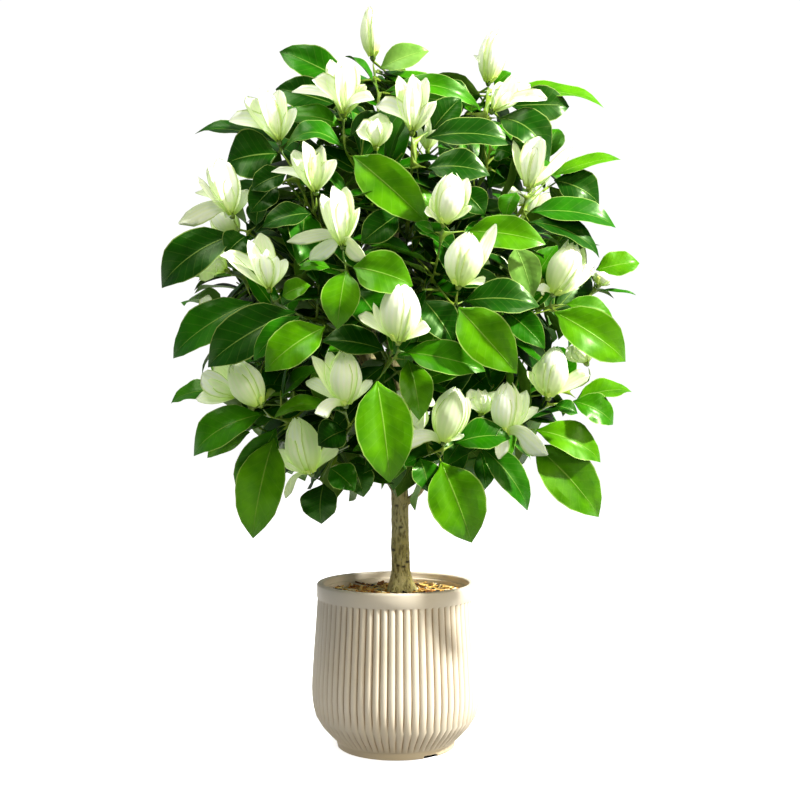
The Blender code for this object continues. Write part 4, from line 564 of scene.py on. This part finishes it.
def readLeaves(mesh):
    leaves, gone = [], set()
    rib, fold = packedLeaf["rib"], math.radians(packedLeaf["fold"])
    for tip in mesh.verts:
        if not isTip(tip, 4, packedLeaf["shortest"]):
            continue
        high, low, root = ringsBelow(tip, 3)
        if len(low) != 4:
            continue
        edgeA, edgeB = widestPair(high)
        ribs = [corner for corner in high if corner not in (edgeA, edgeB)]
        upper = (middleOf((edgeA, edgeB)) - middleOf(ribs)).normalized()
        base = middleOf(root)
        ridge = max(ribs, key=lambda corner: corner.co.dot(upper)).co
        along = (tip.co - base).normalized()
        upper = squared(upper, along)
        arch = (ridge - base.lerp(tip.co, rib)).dot(upper) / (4 * rib * (1 - rib))
        width = (edgeA.co - edgeB.co).length / (2 * packedLeaf["half"] * math.cos(fold))
        leaves.append({"base": base, "tip": tip.co.copy(), "upper": upper, "arch": arch, "width": width})
        gone.update([tip, *high, *low])
    return leaves, gone


def stripped(mesh, gone):
    # what is left once the blades are off, with each socket closed
    bmesh.ops.delete(mesh, geom=list(gone), context="VERTS")
    bmesh.ops.holes_fill(mesh, edges=[edge for edge in mesh.edges if len(edge.link_faces) == 1], sides=0)
    bmesh.ops.join_triangles(mesh, faces=mesh.faces, angle_face_threshold=math.radians(50),
                             angle_shape_threshold=math.radians(60))
    return mesh


# Leaves

leaf = {
    "across": 6, "along": 14, "farAcross": 4, "farAlong": 8, "thickness": 0.0006,
    "outline": [(0, 0.03), (0.04, 0.10), (0.12, 0.48), (0.25, 0.84), (0.40, 1.0), (0.55, 0.99), (0.70, 0.85),
                (0.82, 0.61), (0.91, 0.32), (0.96, 0.13), (1, 0.0)],
    "fold": 0.42, "recurve": 0.18, "wave": 0.085, "cycles": (1.4, 2.4), "bend": 0.05, "tipDrop": 0.045,
    "dropLength": 0.22,
}
# the pale sheen tone is a painted reflection: the grey-green gloss of a leaf that faces up to the light
leafTones = {
    "deep": "#124a00", "green": "#246e00", "fresh": "#3c8600", "bright": "#569800", "young": "#86b804",
    "paleSheen": "#80b04a",
}


def bladeLayers(mesh):
    tones = mesh.loops.layers.float_color.get("tone") or mesh.loops.layers.float_color.new("tone")
    uvs = mesh.loops.layers.uv.get("blade") or mesh.loops.layers.uv.new("blade")
    return tones, uvs


def gridShell(mesh, columns, rows, place, thickness, code, materialIndex):
    # a closed thin blade: two grids that meet at the margin; place gives a point and the way out of its face
    tones, uvs = bladeLayers(mesh)
    colour = hexToLinear(code)
    made = []
    for side in (0, 1):
        grid = bmesh.ops.create_grid(mesh, x_segments=columns, y_segments=rows, size=0.5)["verts"]
        where = {corner: (corner.co.x + 0.5, corner.co.y + 0.5) for corner in grid}
        faces = {face for corner in grid for face in corner.link_faces}
        paintFaces(faces, materialIndex[side])
        for face in faces:
            for loop in face.loops:
                loop[uvs].uv = where[loop.vert]
                loop[tones] = colour
        for corner, (s, t) in where.items():
            point, out = place(2 * s - 1, t)
            edge = s < 0.001 or s > 0.999 or t < 0.001 or t > 0.999
            corner.co = point if edge else point - out * thickness * side
        if side == 1:
            bmesh.ops.reverse_faces(mesh, faces=list(faces))
        made += grid
    bmesh.ops.remove_doubles(mesh, verts=made, dist=2e-6)
    faces = {face for corner in made if corner.is_valid for face in corner.link_faces}
    bmesh.ops.reverse_faces(mesh, faces=list(faces))


def addLeaf(mesh, row, rng, tone, far=False):
    base, tip, upper = row["base"], row["tip"], row["upper"]
    along = (tip - base).normalized()
    side = along.cross(upper)
    length = (tip - base).length
    half = row["width"] * 0.5
    phase, cycles = rng.uniform(0, 6.28), rng.uniform(*leaf["cycles"])
    bend = rng.uniform(-leaf["bend"], leaf["bend"])

    def place(s, t):
        wide = half * blended(leaf["outline"], t)
        arch = row["arch"] * 4 * t * (1 - t)
        late = max(0.0, (t - 1 + leaf["dropLength"]) / leaf["dropLength"])
        drop = leaf["tipDrop"] * length * late ** 2
        ripple = leaf["wave"] * half * math.sin(cycles * fullTurn * t + phase + (1.7 if s > 0 else 0)) * s * s
        ripple *= min(1.0, 4 * t, 5 * (1 - t))
        lift = wide * (leaf["fold"] * abs(s) - leaf["recurve"] * s * s) + ripple
        sway = side * bend * length * t * (1 - t)
        centre = base + along * length * t + upper * (arch - drop) + sway
        return centre + side * wide * s + upper * lift, upper

    columns, rows = (leaf["farAcross"], leaf["farAlong"]) if far else (leaf["across"], leaf["along"])
    gridShell(mesh, columns, rows, place, leaf["thickness"], tone, (0, 1))


# the photograph: its scale at the trunk, its middle, and the pixels where leaves of each tone end
photo = {"metresPerPixel": 0.001266, "middle": 400, "near": 9, "deepest": 0.12}
# painted light and shade: a leaf near one of these points takes the tone it shows there, lit or shaded, as
# well as its own colour
seenTones = {
    "bright": [(546, 243), (517, 373), (605, 103), (265, 370), (273, 416), (416, 282), (640, 262), (428, 223),
               (390, 482), (473, 543), (600, 516), (627, 361), (251, 538), (336, 326), (601, 460), (631, 388),
               (620, 157)],
    "young": [(210, 354), (239, 195)],
    "paleSheen": [(428, 50), (463, 125), (525, 218), (532, 296)],
    "deep": [(160, 286), (227, 165), (570, 107), (599, 200), (537, 307), (277, 86), (487, 172), (321, 524),
             (364, 496), (384, 354)],
    "green": [(171, 357), (280, 49), (528, 509)],
    "fresh": [(239, 498), (193, 454), (483, 370), (613, 424)],
}
eye = Vector(studio["eye"])


def scaleAt(depth):
    away = -studio["eye"][1]
    return photo["metresPerPixel"] * (away + depth) / away


def pixelOf(point):
    scale, middle = scaleAt(point.y), photo["middle"]
    left, _, low = studio["eye"]
    return middle + (point.x - left) / scale, middle - (point.z - low) / scale


def pointAt(across, down, depth):
    scale, middle = scaleAt(depth), photo["middle"]
    left, _, low = studio["eye"]
    return Vector((left + (across - middle) * scale, depth, low + (middle - down) * scale))


def leafTone(row, rng):
    draw = rng.random()
    across, down = pixelOf(row["tip"])
    for name, tips in seenTones.items():
        near = any(math.hypot(across - x, down - y) < photo["near"] for x, y in tips)
        if near and row["tip"].y < photo["deepest"]:
            return leafTones[name]
    # painted light and shade: leaves far out are given lighter tones, as if they caught the light, and those
    # deep inside darker ones
    middle = (row["base"] + row["tip"]) / 2
    depth = math.hypot(middle.x / 0.30, middle.y / 0.27, (middle.z - 0.56) / 0.34)
    chance = draw + 0.8 * (depth - 0.95)
    for most, name in ((0.32, "deep"), (0.66, "green"), (0.86, "fresh"), (0.97, "bright")):
        if chance < most:
            return leafTones[name]
    return leafTones["young"]


# Shoots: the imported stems, their own leaves, and sprigs of more leaves wherever the crown shows a gap

foliage = {
    "crown": (0.262, 0.236, 0.292), "middle": (0.0, 0.0, 0.572),
    "lowestTip": 0.262, "lowestEnd": 0.30, "lowestGap": 0.34,
    "sprigs": 1500, "sprigLength": (0.018, 0.055), "leavesPerSprig": 4, "leafLength": (0.066, 0.098),
    "arch": (0.0, 0.08), "aspect": (0.36, 0.46), "leastFilled": 2, "spared": 0.15, "views": 8, "seed": 11,
    # degrees, and the distance between the lines that look through the crown
    "lookThrough": [(0, 0.012), (90, 0.013), (180, 0.016), (270, 0.013), (45, 0.018), (315, 0.018),
                    (135, 0.020), (225, 0.020)],
    "gapDepths": (0.09, 0.05, 0.0, -0.05, -0.09, -0.13), "gapReach": (0.015, 0.15), "gapStems": 160,
    "gapTries": 6, "gapLeaf": (0.070, 0.095), "gapArch": (0.0, 0.06), "gapAspect": (0.42, 0.52),
    "bloomClear": 0.30, "leafClear": 0.045,  # how far before them a new leaf may not hang
    "stemFace": 2e-6, "twigRadii": (0.0017, 0.0010),
}


def treeOf(names):
    points, faces = [], []
    for name in names:
        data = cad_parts[name].data
        first = len(points)
        points += [corner.co.copy() for corner in data.vertices]
        faces += [tuple(first + k for k in face.vertices) for face in data.polygons]
    return points, faces


def patchOf(row):
    # a coarse copy of a leaf, for the tests on where it may go
    along = (row["tip"] - row["base"]).normalized()
    side = along.cross(row["upper"])
    length, half = (row["tip"] - row["base"]).length, row["width"] * 0.5
    points = []
    for t, share in ((0.10, 0.2), (0.32, 0.9), (0.55, 1.0), (0.80, 0.6)):
        centre = row["base"] + along * length * t + row["upper"] * row["arch"] * 4 * t * (1 - t)
        lift = row["upper"] * half * share * 0.2
        points += [centre + side * half * share * s + lift * abs(s) for s in (-1, 0, 1)]
    points.append(row["tip"])
    faces = [(3 * k + j, 3 * k + j + 1, 3 * k + j + 4, 3 * k + j + 3) for k in range(3) for j in range(2)]
    return points, faces + [(9, 10, 12), (10, 11, 12)]


def insideCrown(point, share=1.0):
    reach = [(a - b) / c for a, b, c in zip(point, foliage["middle"], foliage["crown"])]
    return math.hypot(*reach) < share


def hidesSomething(places, crown):
    # true where a new leaf would stand before a bloom or a leaf that the front shows
    for place in places:
        if place.y > 0.10:
            continue
        away = (place - eye).normalized()
        start = place + away * 0.003
        if crown["front"].ray_cast(start, away, foliage["leafClear"])[0] is not None:
            return True
        if crown["blooms"].ray_cast(start, away, foliage["bloomClear"])[0] is not None:
            return True
    return False


def fitting(row, crown, crossings):
    # the leaf's patch where it may hang: inside the crown, hiding nothing that is seen, across few leaves
    points, faces = patchOf(row)
    if row["tip"].z < foliage["lowestTip"] or not all(insideCrown(place) for place in points):
        return None
    if hidesSomething(points, crown):
        return None
    patch = BVHTree.FromPolygons(points, faces)
    if patch.overlap(crown["blooms"]) or len(patch.overlap(crown["all"])) > crossings:
        return None
    return points, faces


def hang(patch, crown):
    first = len(crown["points"])
    crown["points"] += patch[0]
    crown["faces"] += [tuple(first + k for k in face) for face in patch[1]]


def sprigRows(point, normal, rng):
    # one sprig: its end and the leaves round it
    outward = Vector((point.x, point.y, (point.z - 0.5) * 0.6)).normalized()
    stray = Vector((rng.uniform(-1, 1), rng.uniform(-1, 1), rng.uniform(-0.6, 1)))
    way = (normal * 0.7 + outward * 0.6 + stray * 0.6 + up * 0.25).normalized()
    length = rng.uniform(*foliage["sprigLength"])
    rows = []
    for k in range(foliage["leavesPerSprig"]):
        radial = around(way, goldenTurn * k + rng.uniform(0, 0.6))
        base = point + way * length * (0.35 + 0.65 * k / (foliage["leavesPerSprig"] - 1))
        along = way * rng.uniform(0.35, 0.8) + radial + outward * 0.35 - up * rng.uniform(0.0, 0.5)
        along.normalize()
        upper = squared(outward * rng.uniform(0.3, 1.0) + up * rng.uniform(0.4, 1.0) + stray * 0.25, along)
        reach = rng.uniform(*foliage["leafLength"])
        arch, aspect = rng.uniform(*foliage["arch"]), rng.uniform(*foliage["aspect"])
        rows.append({"base": base, "tip": base + along * reach, "upper": upper, "arch": reach * arch,
                     "width": reach * aspect})
    return point + way * length, rows


def growFoliage(stems):
    rng = random.Random(foliage["seed"])
    names = list(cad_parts)
    points, faces = treeOf(names)
    crown = {
        "points": points, "faces": faces, "all": BVHTree.FromPolygons(points, faces),
        "blooms": BVHTree.FromPolygons(*treeOf([name for name in names if name.startswith("bloom")])),
        "front": BVHTree.FromPolygons(*treeOf([name for name in names if name[:5] in ("bloom", "shoot")])),
    }
    turns = [fullTurn * k / foliage["views"] for k in range(foliage["views"])]
    views = [Vector((math.sin(turn), -math.cos(turn), 0.12)) for turn in turns]
    samples = [(name, face.calc_center_median(), face.normal.copy(), face.calc_area())
               for name in stems for face in stems[name].faces if face.calc_area() > foliage["stemFace"]]
    weights = [sample[3] for sample in samples]
    grown = {name: [] for name in stems}
    for _ in range(foliage["sprigs"]):
        name, point, normal, _ = rng.choices(samples, weights)[0]
        end, rows = sprigRows(point, normal, rng)
        if not insideCrown(end, 0.95) or end.z < foliage["lowestEnd"]:
            continue
        kept = []
        for row in rows:
            patch = fitting(row, crown, 1)
            if not patch:
                continue
            filled = 0
            for place in patch[0][1::3] + [row["tip"]]:
                for view in views:
                    if crown["all"].ray_cast(place + view * 0.002, view)[0] is None \
                            and crown["all"].ray_cast(place - view * 0.002, -view)[0] is None:
                        filled += 1
            if filled >= foliage["leastFilled"] or rng.random() <= foliage["spared"]:
                kept.append(row)
                hang(patch, crown)
        if kept:
            crown["all"] = BVHTree.FromPolygons(points, faces)
            grown[name].append((point, end, kept))
    found = [kept for sprigs in grown.values() for _, _, kept in sprigs]
    print("more foliage:", len(found), "sprigs,", sum(map(len, found)), "leaves")
    for turn, grid in foliage["lookThrough"]:
        total = closeGaps(turn, grid, samples, grown, crown, rng)
        print("seen from", turn, "degrees:", total, "leaves close gaps")
    return grown


def closeGaps(turn, grid, samples, grown, crown, rng):
    # looks through the crown along a grid of lines, and hangs a leaf from a near stem in each clear line
    turn = math.radians(turn)
    toEye = Vector((math.sin(turn), -math.cos(turn), 0))
    sideways = Vector((math.cos(turn), math.sin(turn), 0))
    middle = Vector(foliage["middle"])
    total = 0
    steps = int(0.56 / grid)
    order = [(a, b) for a in range(-steps // 2, steps // 2 + 1) for b in range(-steps // 2, steps // 2 + 1)]
    rng.shuffle(order)
    for a, b in order:
        spot = middle + sideways * a * grid + up * b * grid
        if not insideCrown(spot, 0.92) or spot.z < foliage["lowestGap"]:
            continue
        if crown["all"].ray_cast(spot + toEye * 0.5, -toEye, 1.0)[0] is not None:
            continue
        depths = list(foliage["gapDepths"])
        rng.shuffle(depths)
        options = []
        for depth in depths:
            deep = spot + toEye * depth
            if insideCrown(deep, 0.9):
                options += [((start - deep).length, name, start, deep) for name, start, _, _
                            in rng.sample(samples, min(len(samples), foliage["gapStems"]))]
        least, most = foliage["gapReach"]
        options = sorted((row for row in options if least < row[0] < most), key=lambda row: row[0])
        for reach, name, start, deep in options[:foliage["gapTries"]]:
            way = (deep - start).normalized()
            end = start + way * max(0.008, reach - 0.05)
            rows = []
            for part in range(3 if reach > 0.07 else 1):
                aside = Vector((rng.uniform(-1, 1), rng.uniform(-1, 1), rng.uniform(-1, 0.6)))
                along = (way + aside * (0.0, 0.8, 0.8)[part]).normalized()
                length = rng.uniform(*foliage["gapLeaf"])
                upper = squared(toEye * rng.uniform(0.4, 1.0) + up * rng.uniform(0.3, 0.9), along)
                arch, aspect = rng.uniform(*foliage["gapArch"]), rng.uniform(*foliage["gapAspect"])
                row = {"base": end - way * 0.006 * part, "tip": end + along * length, "upper": upper,
                       "arch": length * arch, "width": length * aspect}
                patch = fitting(row, crown, 4)
                if patch:
                    rows.append(row)
                    hang(patch, crown)
            if rows:
                crown["all"] = BVHTree.FromPolygons(crown["points"], crown["faces"])
                grown[name].append((start, end, rows))
                total += len(rows)
                break
    return total


def addCone(mesh, segments, radii, depth, matrix, materialIndex):
    made = bmesh.ops.create_cone(mesh, cap_ends=True, segments=segments, radius1=radii[0], radius2=radii[1],
                                 depth=depth)["verts"]
    bmesh.ops.transform(mesh, matrix=matrix, verts=made)
    paintFaces({face for corner in made for face in corner.link_faces}, materialIndex)


def standing(centre, way):
    # places a cone with its middle here and its axis along the way
    return Matrix.Translation(centre) @ way.to_track_quat("Z", "Y").to_matrix().to_4x4()


def makeShoot(name, stems, rows, sprigs, rng):
    paintFaces(stems.faces, 2)
    mesh = modified(stems, ("SUBSURF", {"levels": 1, "render_levels": 1}))
    for row in rows:
        addLeaf(mesh, row, rng, leafTone(row, rng))
    for start, end, extra in sprigs:
        way = end - start
        addCone(mesh, 6, foliage["twigRadii"], way.length, standing((start + end) / 2, way), 2)
        for row in extra:
            addLeaf(mesh, row, rng, leafTone(row, rng), True)
    newPiece(name + "_dressed", name, mesh, [bladeTop, bladeUnder, greenShoot], 50)


def makeShoots():
    names = sorted(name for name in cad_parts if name.startswith("shoot"))
    stems, rows = {}, {}
    for name in names:
        source = mergedCopy(name)
        rows[name], gone = readLeaves(source)
        stems[name] = stripped(source, gone)
    sprigs = growFoliage(stems)
    for number, name in enumerate(names):
        makeShoot(name, stems[name], rows[name], sprigs[name], random.Random(100 + number))
    print("shoots made,", sum(len(found) for found in rows.values()), "packed leaves")


makeShoots()


# Blooms

petal = {
    "across": 4, "along": 9, "thickness": 0.0009,
    "outline": [(0, 0.32), (0.15, 0.52), (0.35, 0.84), (0.55, 1.0), (0.72, 0.98), (0.85, 0.82), (0.94, 0.54),
                (0.98, 0.32), (1, 0.10)],
    "spoon": [(0, 0.26), (0.2, 0.36), (0.4, 0.62), (0.6, 0.90), (0.75, 1.0), (0.87, 0.90), (0.95, 0.60),
              (0.985, 0.34), (1, 0.12)],
    "widen": 1.88, "cup": 0.60, "swell": 0.006, "curl": (-0.10, 0.14), "ripple": 0.06,
    "upright": 0.72,  # how near to the bloom's axis a petal points to count as upright
    "tones": ["#f8faea", "#f5f9e2", "#edf5d2", "#fafcf0", "#e6f1c8", "#f7faec"],
}
goblet = {"petals": 5, "half": 0.0132, "lean": 9, "short": 0.96, "least": 0.030, "usual": 0.035, "full": 0.10}
pistil = {"radius": 0.0021, "length": 0.011, "from": 0.0085, "stamens": 14, "stamenRadii": (0.0006, 0.0003),
          "stamenLength": 0.0075, "stamenFrom": 0.0075, "stamenOut": 0.0028, "stamenLean": 0.35}
bud = {
    "outline": [(0, 0.24), (0.08, 0.44), (0.20, 0.72), (0.35, 0.92), (0.50, 1.0), (0.64, 0.96), (0.78, 0.78),
                (0.88, 0.55), (0.95, 0.33), (1, 0.15)],
    "cover": [(0, 0.9), (0.2, 1.0), (0.6, 1.0), (0.78, 0.86), (0.9, 0.58), (0.96, 0.34), (1, 0.05)],
    "across": 6, "along": 10, "grow": 1.17, "tipShare": 0.985,
    # the inner three tepals, then the outer three: turn, lift, reach, spread, flare, twist
    "tepals": [(1.05, 0.0002, (0.97, 1.0), 1.10, (-0.02, 0.05), 0.2),
               (0.0, 0.0024, (0.86, 0.98), 0.90, (0.04, 0.26), 0.25)],
    "core": (0.1, 0.25, 0.4, 0.55, 0.7, 0.82, 0.92), "coreShare": 0.88, "coreSides": 14,
    "coreTone": "#f3f7dc",
    "bracts": 2, "bractReach": 0.017, "bractHalf": 0.0030, "bractFrom": 0.003, "bractTone": "#cfe06a",
    "shortened": {"bloom_12": 0.58, "bloom_33": 0.97},
    "tall": {"bloom_02": (497, 28, 0.0128)},  # the pixel where the photograph has its end, half its width
}


def bezier(root, bend, tip, t):
    return root * (1 - t) ** 2 + bend * 2 * t * (1 - t) + tip * t * t


def addPetal(mesh, root, bend, tip, half, outward, rng, shape="outline", tone=None):
    cup = petal["cup"]
    tone = tone or rng.choice(petal["tones"])
    curl = rng.uniform(*petal["curl"])
    phase = rng.uniform(0, 6.28)
    length = (tip - root).length

    def place(s, t):
        centre = bezier(root, bend, tip, t)
        ahead = (bezier(root, bend, tip, t + 0.03) - bezier(root, bend, tip, t - 0.03)).normalized()
        out = squared(outward, ahead)
        side = ahead.cross(out)
        wide = half * blended(petal[shape], t)
        hollow = cup * wide * s * s
        ripple = petal["ripple"] * half * math.sin(5 * t + phase + s * 1.5) * abs(s)
        rise = curl * length * 0.25 * max(0.0, (t - 0.6) / 0.4) ** 2
        return centre + side * wide * s * (1 - 0.12 * cup) + out * (ripple - hollow + rise), out

    gridShell(mesh, petal["across"], petal["along"], place, petal["thickness"], tone, (0, 0))


def readBloom(mesh):
    tips, gone, core = [], set(), None
    for tip in mesh.verts:
        if isTip(tip, 3, 0.0035):
            high, low, root = ringsBelow(tip, 3)
            if len(low) != 3:
                continue
            pair = widestPair(high)
            rib = [corner for corner in high if corner not in pair][0]
            centre = middleOf(pair)
            tips.append({"tip": tip.co.copy(), "root": middleOf(root), "centre": centre,
                         "half": (pair[0].co - pair[1].co).length / 2,
                         "outward": (rib.co - centre).normalized()})
            gone.update([tip, *high, *low])
        elif isTip(tip, 5, 0.0035) or isTip(tip, 6, 0.0035):
            lengths = [edge.calc_length() for edge in tip.link_edges]
            if max(lengths) - min(lengths) > 0.0001:
                continue  # only the middle's sections are round
            rings = ringsBelow(tip, 2)
            middle = middleOf(rings[0])
            core = {"tip": tip.co.copy(), "closed": len(tip.link_edges) == 6,
                    "half": max((corner.co - middle).length for corner in rings[0]) / 0.60}
            gone.update([tip, *rings[0]])
            if core["closed"]:
                gone.update(rings[1])
    return tips, core, gone


def addBud(mesh, base, axis, length, half, facing, rng):
    # a round core with pointed tepals lapped over it, the outer three over the inner three
    half = half * bud["grow"]

    def addTepal(turn, lift, reach, spread, flare, twist):
        def place(s, t):
            way = around(axis, turn + twist * t + s * spread * blended(bud["cover"], t))
            radius = half * blended(bud["outline"], t) + lift * (1 - 0.15 * t) - 0.05 * half * s * s
            radius += flare * half * max(0.0, (t - 0.72) / 0.28) ** 2
            return base + axis * length * reach * t + way * radius, way
        tone = rng.choice(petal["tones"])
        gridShell(mesh, bud["across"], bud["along"], place, petal["thickness"], tone, (0, 0))

    core = [(t, blended(bud["outline"], t) * bud["coreShare"]) for t in bud["core"]]
    addCore(mesh, [(0.0, 0.2), *core, (0.96, 0.0)], base, axis, length, half)
    for turn, lift, reach, spread, flare, twist in bud["tepals"]:
        for k in range(3):
            angle = facing + turn + fullTurn * k / 3
            addTepal(angle, lift, rng.uniform(*reach), spread, rng.uniform(*flare), twist)


def addCore(mesh, rows, base, axis, length, half):
    # a turned solid: a line of (height, reach) spun about the axis
    tones, uvs = bladeLayers(mesh)
    across = around(axis, 0)
    line = [mesh.verts.new(base + axis * length * t + across * half * share) for t, share in rows]
    edges = [mesh.edges.new(pair) for pair in zip(line, line[1:])]
    bmesh.ops.spin(mesh, geom=line + edges, cent=base, axis=axis, angle=fullTurn, steps=bud["coreSides"],
                   use_merge=True)
    faces = {face for corner in line for face in corner.link_faces}
    grown = set(faces)
    while grown:
        grown = {near for face in grown for edge in face.edges for near in edge.link_faces} - faces
        faces |= grown
    corners = list({corner for face in faces for corner in face.verts})
    bmesh.ops.remove_doubles(mesh, verts=corners, dist=1e-6)
    faces = {face for face in faces if face.is_valid}
    bmesh.ops.recalc_face_normals(mesh, faces=list(faces))
    paintFaces(faces, 0)
    for face in faces:
        for loop in face.loops:
            loop[uvs].uv = (0.5, min(1.0, max(0.0, (loop.vert.co - base).dot(axis) / length)))
            loop[tones] = hexToLinear(bud["coreTone"])


def addGoblet(mesh, root, axis, length, facing, rng):
    # the upright inner tepals of an open bloom
    for k in range(goblet["petals"]):
        way = around(axis, facing + fullTurn * k / goblet["petals"] + rng.uniform(-0.2, 0.2))
        lean = math.radians(goblet["lean"] * rng.uniform(0.6, 1.4))
        reach = length * goblet["short"] * rng.uniform(0.88, 1.05)
        tip = root + (axis * math.cos(lean) + way * math.sin(lean)) * reach
        bend = root + axis * reach * 0.42 + way * (0.012 + goblet["full"] * reach)
        addPetal(mesh, root + way * 0.0015, bend, tip, goblet["half"] * rng.uniform(0.9, 1.1), way, rng)


def addPistil(mesh, base, axis):
    # the cone of carpels, and the stamens round its foot
    across = axis.orthogonal().normalized()
    turned = Matrix((across, axis.cross(across), axis)).transposed().to_4x4()
    radius, length = pistil["radius"], pistil["length"]
    centre = base + axis * (pistil["from"] + length / 2)
    addCone(mesh, 10, (radius, radius * 0.35), length, Matrix.Translation(centre) @ turned, 2)
    for k in range(pistil["stamens"]):
        way = around(axis, goldenTurn * k)
        lean = (axis + way * pistil["stamenLean"]).normalized()
        foot = base + axis * pistil["stamenFrom"] + way * pistil["stamenOut"]
        stood = standing(foot + lean * 0.0036, lean)
        addCone(mesh, 5, pistil["stamenRadii"], pistil["stamenLength"], stood, 2)


def makeBloom(name, rng):
    source = mergedCopy(name)
    rows, core, gone = readBloom(source)
    mesh = stripped(source, gone)
    axis = (core["tip"] - middleOf(mesh.verts)).normalized()
    low = min(corner.co.dot(axis) for corner in mesh.verts)
    base = middleOf([corner for corner in mesh.verts if corner.co.dot(axis) < low + 0.0012])
    paintFaces(mesh.faces, 1)
    if name in bud["tall"]:
        across, down, half = bud["tall"][name]
        core = {"tip": pointAt(across, down, base.y), "closed": True, "half": half}
        axis = (core["tip"] - base).normalized()
    root = base + axis * 0.005
    length = (core["tip"] - root).length / bud["tipShare"]
    shortened = bud["shortened"].get(name, 1.0)
    for row in rows:
        row["tip"] = root.lerp(row["tip"], shortened)
        sideways = row["tip"] - root - axis * (row["tip"] - root).dot(axis)
        close = sideways.length < core["half"] * 0.45 and (row["tip"] - core["tip"]).length < 0.012
        if core["closed"] and close:
            continue  # one of the petals that close the bud
        start = root.lerp(row["root"], 0.6)
        # the bend that takes the curve through the petal's middle, 0.7 of the way along
        bend = (row["centre"] - start * 0.09 - row["tip"] * 0.49) / 0.42
        reach = row["tip"] - start
        upright = reach.normalized().dot(axis) > petal["upright"]
        if upright and not core["closed"]:
            aside = reach - axis * reach.dot(axis)
            full = start + axis * reach.dot(axis) * 0.42 + aside * 0.72 + aside.normalized() * petal["swell"]
            bend = bend.lerp(full, 0.8)
        addPetal(mesh, start, bend, row["tip"], row["half"] * petal["widen"], row["outward"], rng,
                 "outline" if upright else "spoon")
    if core["closed"]:
        addBud(mesh, root, axis, length, core["half"], rng.uniform(0, 6), rng)
        # small bracts curl away from the bud's foot
        for k in range(bud["bracts"]):
            way = around(axis, rng.uniform(0, 1.6) + math.pi * k)
            reach = bud["bractReach"] * rng.uniform(0.7, 1.1)
            foot = base + axis * bud["bractFrom"]
            addPetal(mesh, foot, foot + way * reach * 0.5, base + axis * reach * 0.7 + way * reach * 0.9,
                     bud["bractHalf"], -axis, rng, "spoon", bud["bractTone"])
    else:
        high = [row["tip"] - root for row in rows if (row["tip"] - root).normalized().dot(axis) > 0.75]
        reach = sum(way.dot(axis) for way in high) / max(1, len(high)) or goblet["usual"]
        addGoblet(mesh, root, axis, max(goblet["least"], reach) * shortened, rng.uniform(0, 6), rng)
        addPistil(mesh, base, axis)
    newPiece(name + "_dressed", name, mesh, [tepal, greenShoot, carpel], 50)


for number, name in enumerate(sorted(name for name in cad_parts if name.startswith("bloom"))):
    makeBloom(name, random.Random(500 + number))
print("blooms made")


# Trunk

wood = {
    "voxel": 0.0014, "soften": 0.6, "softenTimes": 6,
    "relief": 0.0006, "reliefScale": 110, "reliefStretch": 0.45, "skin": 0.0004,
    "flareTop": 0.226, "flareHeight": 0.042, "flare": 0.0085, "buttress": 0.35,
    "shadedScars": [(0.0030, 0.2270), (0.0092, 0.2255), (0.0140, 0.2312), (-0.0030, 0.2460), (0.0060, 0.2750),
              (0.0010, 0.3020)],  # across and up, on the front
    "scarSize": 0.0016, "scarTop": 0.32,
}


def makeTrunk():
    mesh = modified(mergedCopy("trunk"), ("REMESH", {"mode": "VOXEL", "voxel_size": wood["voxel"]}),
                    ("SMOOTH", {"factor": wood["soften"], "iterations": wood["softenTimes"]}))
    mesh.normal_update()
    marked = mesh.verts.layers.float.new("shadedScar")
    for corner in mesh.verts:
        gaps = [math.hypot((corner.co.x - x) * 0.6, corner.co.z - z) for x, z in wood["shadedScars"]]
        # painted shade: the scars on the front are marked dark, for the shade in their pits
        if corner.normal.y < -0.2 and corner.co.z < wood["scarTop"]:
            corner[marked] = max(0.0, min(1.0, 1.6 - min(gaps) / wood["scarSize"] * 1.2))
        place = Vector((corner.co.x, corner.co.y, corner.co.z * wood["reliefStretch"]))
        relief = noise.fractal(place * wood["reliefScale"], 0.9, 2.1, 4)
        low = max(0.0, (wood["flareTop"] - corner.co.z) / wood["flareHeight"])
        buttress = 1 + wood["buttress"] * math.sin(3 * math.atan2(corner.co.y, corner.co.x) + 0.8)
        outward = Vector((corner.co.x, corner.co.y, 0)).normalized()
        flare = outward * wood["flare"] * min(1.0, low) ** 2 * buttress
        corner.co += corner.normal * (relief * wood["relief"] + wood["skin"]) + flare
    newPiece("barkedTrunk", "trunk", mesh, [bark], 180)


makeTrunk()
print("trunk made")
